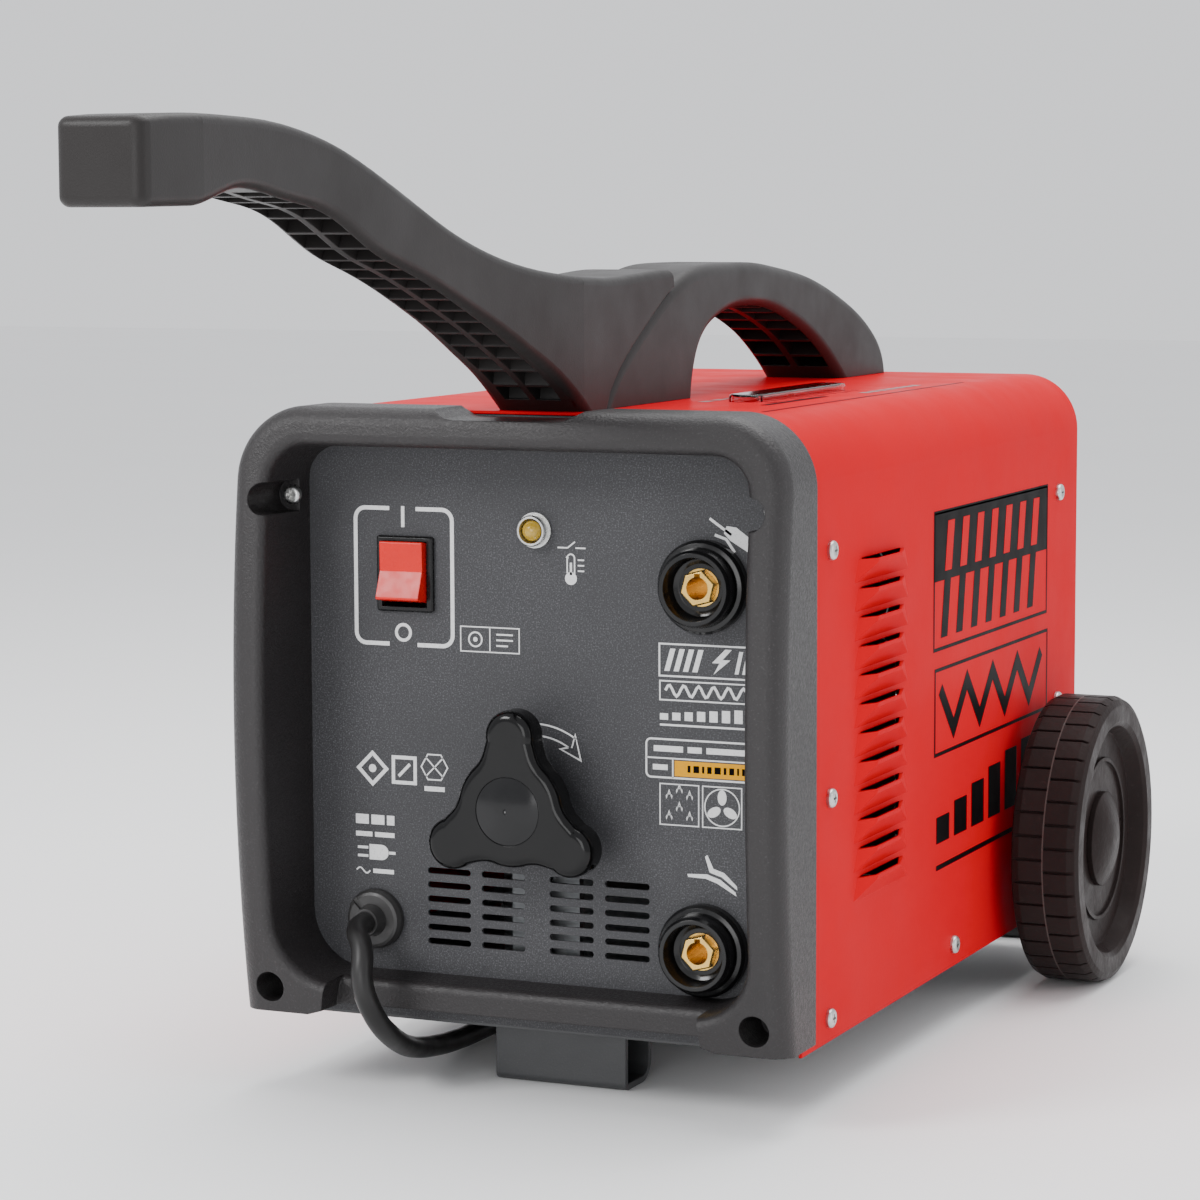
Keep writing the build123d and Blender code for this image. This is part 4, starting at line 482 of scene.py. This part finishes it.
def prints(name, shapes, look, place):
    """Thin printed film: every outline becomes a plate 0.05 mm thick. place(a, b, lift) gives the point."""
    bm = bmesh.new()
    for shape in shapes:
        low = [bm.verts.new(place(a, b, 0.05)) for a, b in shape]
        face = bm.faces.new(low)
        done = bmesh.ops.extrude_face_region(bm, geom=[face])
        moved = [g for g in done["geom"] if isinstance(g, bmesh.types.BMVert)]
        shift = place(0, 0, 0.10) - place(0, 0, 0.05)
        bmesh.ops.translate(bm, verts=moved, vec=shift)
    bmesh.ops.triangulate(bm, faces=[f for f in bm.faces if len(f.verts) > 4])
    bmesh.ops.recalc_face_normals(bm, faces=bm.faces)
    mesh = bpy.data.meshes.new(name)
    bm.to_mesh(mesh)
    bm.free()
    mesh.materials.append(look.mat)
    obj = bpy.data.objects.new(name, mesh)
    bpy.context.scene.collection.objects.link(obj)
    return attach(obj, "chassis")


def on_front(a, b, lift):
    return at(a, -lift, b)


def on_right(a, b, lift):
    return at(114.5 + lift, a, b)


def on_left(a, b, lift):
    return at(-114.5 - lift, a, b)


def on_top(a, b, lift):
    return at(a, b, 253.0 + lift)


def stroke(points, width, closed=False):
    """Quads along a polyline, mitred at its corners."""
    pts = [Vector(p) for p in points]
    count = len(pts)
    sides = []
    for i, p in enumerate(pts):
        before = pts[i - 1] if (i > 0 or closed) else None
        after = pts[(i + 1) % count] if (i < count - 1 or closed) else None
        d1 = (p - before).normalized() if before is not None else None
        d2 = (after - p).normalized() if after is not None else None
        d = (d1 + d2).normalized() if d1 is not None and d2 is not None else (d1 or d2)
        n = Vector((-d.y, d.x))
        ref = d1 or d2
        k = max(0.4, n.dot(Vector((-ref.y, ref.x))))
        sides.append((p + n * width / 2 / k, p - n * width / 2 / k))
    out = []
    for i in range(count if closed else count - 1):
        a, b = sides[i], sides[(i + 1) % count]
        out.append([tuple(a[0]), tuple(a[1]), tuple(b[1]), tuple(b[0])])
    return out


def box2(x0, z0, x1, z1):
    return [(x0, z0), (x1, z0), (x1, z1), (x0, z1)]


def arc(cx, cz, r, a0, a1, count=16):
    return [(cx + r * math.cos(math.radians(a0 + (a1 - a0) * i / count)), cz + r * math.sin(math.radians(a0 + (a1 - a0) * i / count))) for i in range(count + 1)]


def disc(cx, cz, r, count=28):
    return arc(cx, cz, r, 0, 360, count)[:-1]


def ring(cx, cz, r, width, count=32):
    return stroke(disc(cx, cz, r, count), width, True)


def round_box(x0, z0, x1, z1, r, width):
    pts = (arc(x1 - r, z1 - r, r, 90, 0, 6) + arc(x1 - r, z0 + r, r, 0, -90, 6) + arc(x0 + r, z0 + r, r, -90, -180, 6) + arc(x0 + r, z1 - r, r, 180, 90, 6))
    return stroke(pts, width, True)


white = []
# bracket round the switch, open above and below, with on and off marks
white += stroke([(-65.6, 212.4)] + arc(-76.6, 207.9, 4.5, 90, 180, 6) + arc(-76.6, 161.2, 4.5, 180, 270, 6) + [(-66.0, 156.7)], 1.7)
white += stroke([(-53.6, 212.4)] + arc(-41.7, 207.9, 4.5, 90, 0, 6) + arc(-41.7, 161.2, 4.5, 0, -90, 6) + [(-53.2, 156.7)], 1.7)
white += [box2(-60.2, 204.8, -58.7, 213.4)]
white += ring(-59.6, 161.6, 3.2, 1.3)
# small two-cell sign
white += stroke(box2(-33.6, 155.2, -7.4, 165.3), 0.5, True) + stroke([(-20.5, 155.2), (-20.5, 165.3)], 0.5)
white += ring(-27.0, 160.2, 2.9, 0.7) + [disc(-27.0, 160.2, 1.0, 14)]
white += [box2(-17.6, 162.2, -10.2, 162.9), box2(-17.6, 159.9, -10.2, 160.6), box2(-17.6, 157.6, -12.4, 158.3)]
# heat sign under the lamp
white += [box2(9.8, 198.6, 14.2, 199.2), box2(17.6, 198.6, 22.0, 199.2)]
white += stroke([(14.2, 198.9), (17.4, 201.4)], 0.6)
white += stroke([(14.0, 188.6), (14.0, 194.8)] + arc(15.6, 194.8, 1.6, 180, 0, 8) + [(17.2, 188.6)], 0.6)
white += [disc(15.6, 186.6, 2.6, 20), box2(15.1, 188.0, 16.1, 193.0)]
white += [box2(18.6, 189.4, 21.4, 190.0), box2(18.6, 191.6, 21.4, 192.2), box2(18.6, 193.8, 21.4, 194.4)]
# rod and grip by the upper socket
white += stroke([(75.4, 212.6), (84.6, 206.4)], 1.1)
white += [[(82.6, 209.8), (86.6, 209.4), (97.5, 201.6), (95.4, 197.6), (84.0, 204.2), (81.4, 207.0)]]
white += stroke([(77.6, 206.2), (82.4, 204.6), (86.0, 199.6)], 1.1)
# sign block at the right: bolt and slats
white += stroke(box2(53.9, 149.4, 97.0, 162.2), 0.7, True)
for i in range(4):
    x = 56.0 + 4.0 * i
    white += [[(x, 151.4), (x + 2.2, 151.4), (x + 4.8, 160.4), (x + 2.6, 160.4)]]
white += [[(82.0, 161.0), (76.4, 155.4), (79.6, 155.4), (77.0, 150.8), (84.2, 156.8), (80.8, 156.8), (84.8, 161.0)]]
for i in range(3):
    x = 86.0 + 3.2 * i
    white += [[(x, 151.4), (x + 1.6, 151.4), (x + 3.6, 160.4), (x + 2.0, 160.4)]]
white += stroke(box2(54.1, 139.8, 97.0, 147.4), 0.6, True)
white += stroke([(56.5 + 38.0 * i / 40, 143.6 + 2.2 * math.sin(i / 40 * 12 * math.pi)) for i in range(41)], 1.1)
for i in range(8):
    white += [box2(54.1 + 5.3 * i, 131.8, 57.6 + 5.3 * i, 134.4 + 0.45 * i)]
white += [box2(54.1, 129.4, 97.0, 130.2)]
# plate outline with two rows
white += round_box(48.2, 108.6, 99.5, 124.0, 2.0, 0.75)
white += stroke([(48.2, 116.4), (99.5, 116.4)], 0.6) + stroke([(59.6, 108.6), (59.6, 116.4)], 0.6)
white += [box2(51.4, 119.0, 64.0, 121.4), box2(66.0, 119.0, 72.0, 121.4), box2(74.0, 119.0, 92.0, 121.4), box2(51.0, 111.6, 57.4, 113.8)]
# two cells
white += stroke(box2(54.1, 89.7, 70.7, 106.1), 0.5, True) + stroke(box2(72.4, 89.7, 89.0, 106.1), 0.5, True)
for i, (x, z) in enumerate([(58.0, 101.0), (62.4, 96.2), (66.8, 101.0), (58.0, 92.6), (66.8, 92.6), (62.4, 103.4)]):
    white += stroke(arc(x, z, 1.2, 200, -20, 8) + [(x, z + 2.6)], 0.45, True)
for i in range(3):
    a = math.radians(90 + 120 * i)
    cx, cz = 80.7 + 4.0 * math.cos(a), 97.9 + 4.0 * math.sin(a)
    white += [[(cx + 3.1 * math.cos(math.radians(t)) * math.cos(a) - 1.9 * math.sin(math.radians(t)) * math.sin(a),
                cz + 3.1 * math.cos(math.radians(t)) * math.sin(a) + 1.9 * math.sin(math.radians(t)) * math.cos(a)) for t in range(0, 360, 20)]]
white += ring(80.7, 97.9, 7.4, 0.5)
# clamp sign by the lower socket
white += [[(65.8, 70.4), (66.2, 69.2), (73.6, 69.0), (78.6, 67.4), (86.8, 62.8), (86.4, 64.4), (80.0, 69.0), (74.2, 70.8)]]
white += [[(74.4, 78.6), (73.4, 77.8), (75.4, 71.6), (80.6, 70.0), (87.2, 65.2), (87.0, 66.8), (81.6, 71.8), (77.0, 73.2)]]
# marks at the left
white += stroke([(-80.8, 104.6), (-74.4, 111.0), (-68.0, 104.6), (-74.4, 98.2)], 1.6, True) + [disc(-74.4, 104.6, 1.7, 18)]
white += stroke(box2(-64.8, 99.4, -54.8, 109.8), 1.5, True) + stroke([(-62.4, 102.0), (-57.2, 107.2)], 1.3)
white += stroke([(-46.0 + 6.0 * math.cos(math.radians(60 * i)), 106.6 + 6.0 * math.sin(math.radians(60 * i))) for i in range(6)], 0.6, True)
white += stroke([(-50.0, 110.6), (-42.0, 102.6)], 0.6) + stroke([(-50.0, 102.6), (-42.0, 110.6)], 0.6)
white += [box2(-50.6, 96.6, -41.4, 98.6)]
white += [box2(-82.4, 81.2, -76.4, 85.2), box2(-75.2, 81.2, -69.2, 85.2), box2(-68.0, 81.2, -64.6, 85.2)]
white += [box2(-82.4, 76.0, -74.8, 78.0), box2(-73.6, 76.0, -64.6, 78.0)]
white += [[(-76.2, 66.4)] + arc(-70.6, 69.6, 3.2, -90, 90, 10) + [(-76.2, 72.8)], box2(-81.6, 70.8, -76.8, 71.9), box2(-81.6, 67.3, -76.8, 68.4), box2(-67.2, 69.0, -64.2, 70.2)]
white += stroke([(-82.2 + 6.2 * i / 14, 61.7 + 1.1 * math.sin(i / 14 * 2 * math.pi)) for i in range(15)], 0.6)
white += [box2(-74.6, 60.8, -65.0, 62.6)]
# turning arrow beside the knob
white += stroke(arc(0, 95.5, 31.6, 96, 56, 12), 0.7)
white += stroke(arc(0, 95.5, 26.8, 96, 58, 12), 0.7)
white += stroke([(15.6, 118.1), (17.2, 123.4), (19.6, 113.2), (10.6, 117.4), (14.2, 118.2)], 0.7)
front_print = prints("front_print", white, ink, on_front)

front_yellow = prints("front_yellow_strip", [box2(60.4, 109.4, 98.8, 115.6)], yellow, on_front)
dark_bars = []
x = 66.0
for w in (1.2, 2.4, 0.9, 1.8, 2.6, 1.1, 2.0, 0.8, 2.2, 1.4):
    dark_bars.append(box2(x, 111.2, x + w, 113.9))
    x += w + 1.3
front_dark = prints("front_dark_bars", dark_bars, black_ink, lambda a, b, lift: on_front(a, b, lift + 0.08))


def side_shapes():
    """Counterchanged slats, a broad wave and stepped blocks."""
    black = stroke(box2(160.6, 143.6, 327.0, 203.0), 1.6, True)
    redder = []
    black += [box2(160.6, 173.2, 327.0, 203.0)]
    for i in range(7):
        y = 170.0 + 21.0 * i
        w = 9.0
        redder += [[(y + 5.0, 177.0), (y + 5.0 + w, 177.0), (y + 9.0 + w, 198.6), (y + 9.0, 198.6)]]
        black += [[(y, 148.2), (y + w, 148.2), (y + 4.4 + w, 173.2), (y + 4.4, 173.2)]]
    black += stroke(box2(162.6, 97.6, 328.6, 134.6), 1.6, True)
    wave = []
    for i in range(9):
        wave.append((170.0 + 18.6 * i, 106.4 if i % 2 else 125.8))
    black += stroke(wave, 6.4)
    for i in range(6):
        y = 165.6 + 24.6 * i
        black += [box2(y, 58.4, y + 17.6, 66.0 + 4.0 * (i + 1) if i < 5 else 88.0)]
    black += [box2(165.6, 46.6, 283.0, 48.8)]
    return black, redder


side_black, side_red = side_shapes()
for tag, place in (("right", on_right), ("left", on_left)):
    prints("side_print_" + tag, side_black, black_ink, place)
    prints("side_slats_" + tag, side_red, red, lambda a, b, lift, place=place: place(a, b, lift + 0.08))

# scale printed beside the window in the lid
lid = [box2(67.2, 76.0, 70.6, 148.0), box2(85.4, 30.0, 86.9, 285.0)]
for i in range(12):
    y = 96.0 + 9.6 * i
    lid += [box2(61.4, y, 64.8 if i % 3 else 66.6, y + 0.9)]
prints("lid_scale", lid, black_ink, on_top)
lid_grey = []
for i in range(7):
    lid_grey += [box2(72.4, 180.0 + 11.0 * i, 77.0, 188.0 + 11.0 * i)]
for i in range(4):
    lid_grey += [box2(34.0, 88.0 + 14.0 * i, 38.6, 98.0 + 14.0 * i)]
prints("lid_marks", lid_grey, grey_ink, on_top)

# ------------------------------------------------------------------ coil tie
def tie_band():
    """Flat band wrapped round the coiled cord."""
    outline = []
    r = 5.2
    for cx, cz, a0 in ((62.0 - r, 19.4 - r, 0), (42.2 + r, 19.4 - r, 90), (42.2 + r, 0.2 + r, 180), (62.0 - r, 0.2 + r, 270)):
        for i in range(6):
            a = math.radians(a0 + 90 * i / 5)
            outline.append((cx + r * math.cos(a), cz + r * math.sin(a)))
    verts, faces = [], []
    spin = math.radians(215)
    axis_r, axis_t = Vector((math.cos(spin), math.sin(spin), 0)), Vector((-math.sin(spin), math.cos(spin), 0))
    centre = at(COIL_X, COIL_Y, FLOOR)
    layers = ((0.0, -3.0), (0.9, -2.6), (0.9, 2.6), (0.0, 3.0), (-0.3, 0.0))
    count = len(outline)
    mid = Vector((52.1, 9.8))
    for grow, side in layers:
        for px, pz in outline:
            d = (Vector((px, pz)) - mid).normalized()
            q = Vector((px, pz)) + d * (grow - 0.4)
            q.y = max(q.y, 0.05)
            verts.append(centre + (axis_r * q.x + axis_t * side + Vector((0, 0, q.y))) / 1000.0)
    for k in range(len(layers)):
        for i in range(count):
            j = (i + 1) % count
            a, b = k * count, ((k + 1) % len(layers)) * count
            faces.append((a + i, a + j, b + j, b + i))
    return mesh_piece("coil_tie", verts, faces, gland_m, smooth=True)


tie_band()

# ------------------------------------------------------------------ floor and light
floor_mat = Mat("studio_floor", (0.93, 0.93, 0.93), 0.60)
floor_mat.tint(floor_mat.noise(3.0, 2.0), (0.91, 0.91, 0.915), 0.4, 0.7, 0.5)
bm = bmesh.new()
bmesh.ops.create_grid(bm, x_segments=8, y_segments=8, size=8.0)
mesh = bpy.data.meshes.new("floor")
bm.to_mesh(mesh)
bm.free()
mesh.materials.append(floor_mat.mat)
floor = bpy.data.objects.new("floor", mesh)
bpy.context.scene.collection.objects.link(floor)
floor.location = (0, 0, -0.0003)


def area(name, where, aim, size, power, tall=None):
    data = bpy.data.lights.new(name, "AREA")
    data.shape = "RECTANGLE"
    data.size, data.size_y = size, tall or size
    data.energy = power
    obj = bpy.data.objects.new(name, data)
    bpy.context.scene.collection.objects.link(obj)
    obj.location = where
    obj.rotation_euler = (Vector(aim) - Vector(where)).to_track_quat("-Z", "Y").to_euler()
    return obj


area("key", (-1.0, -1.5, 1.35), (0, 0, 0.2), 0.7, 30.0)
area("overhead", (0.1, 0.4, 1.6), (0, 0.05, 0.2), 1.3, 26.0)
area("side", (2.1, 0.1, 0.7), (0.1, 0.1, 0.15), 1.2, 8.0)
area("low_front", (0.3, -2.4, 0.5), (0, 0, 0.15), 1.0, 13.0)

world = bpy.data.worlds.new("studio")
bpy.context.scene.world = world
world.use_nodes = True
world.node_tree.nodes["Background"].inputs[0].default_value = (0.96, 0.97, 1.0, 1.0)
world.node_tree.nodes["Background"].inputs[1].default_value = 1.10
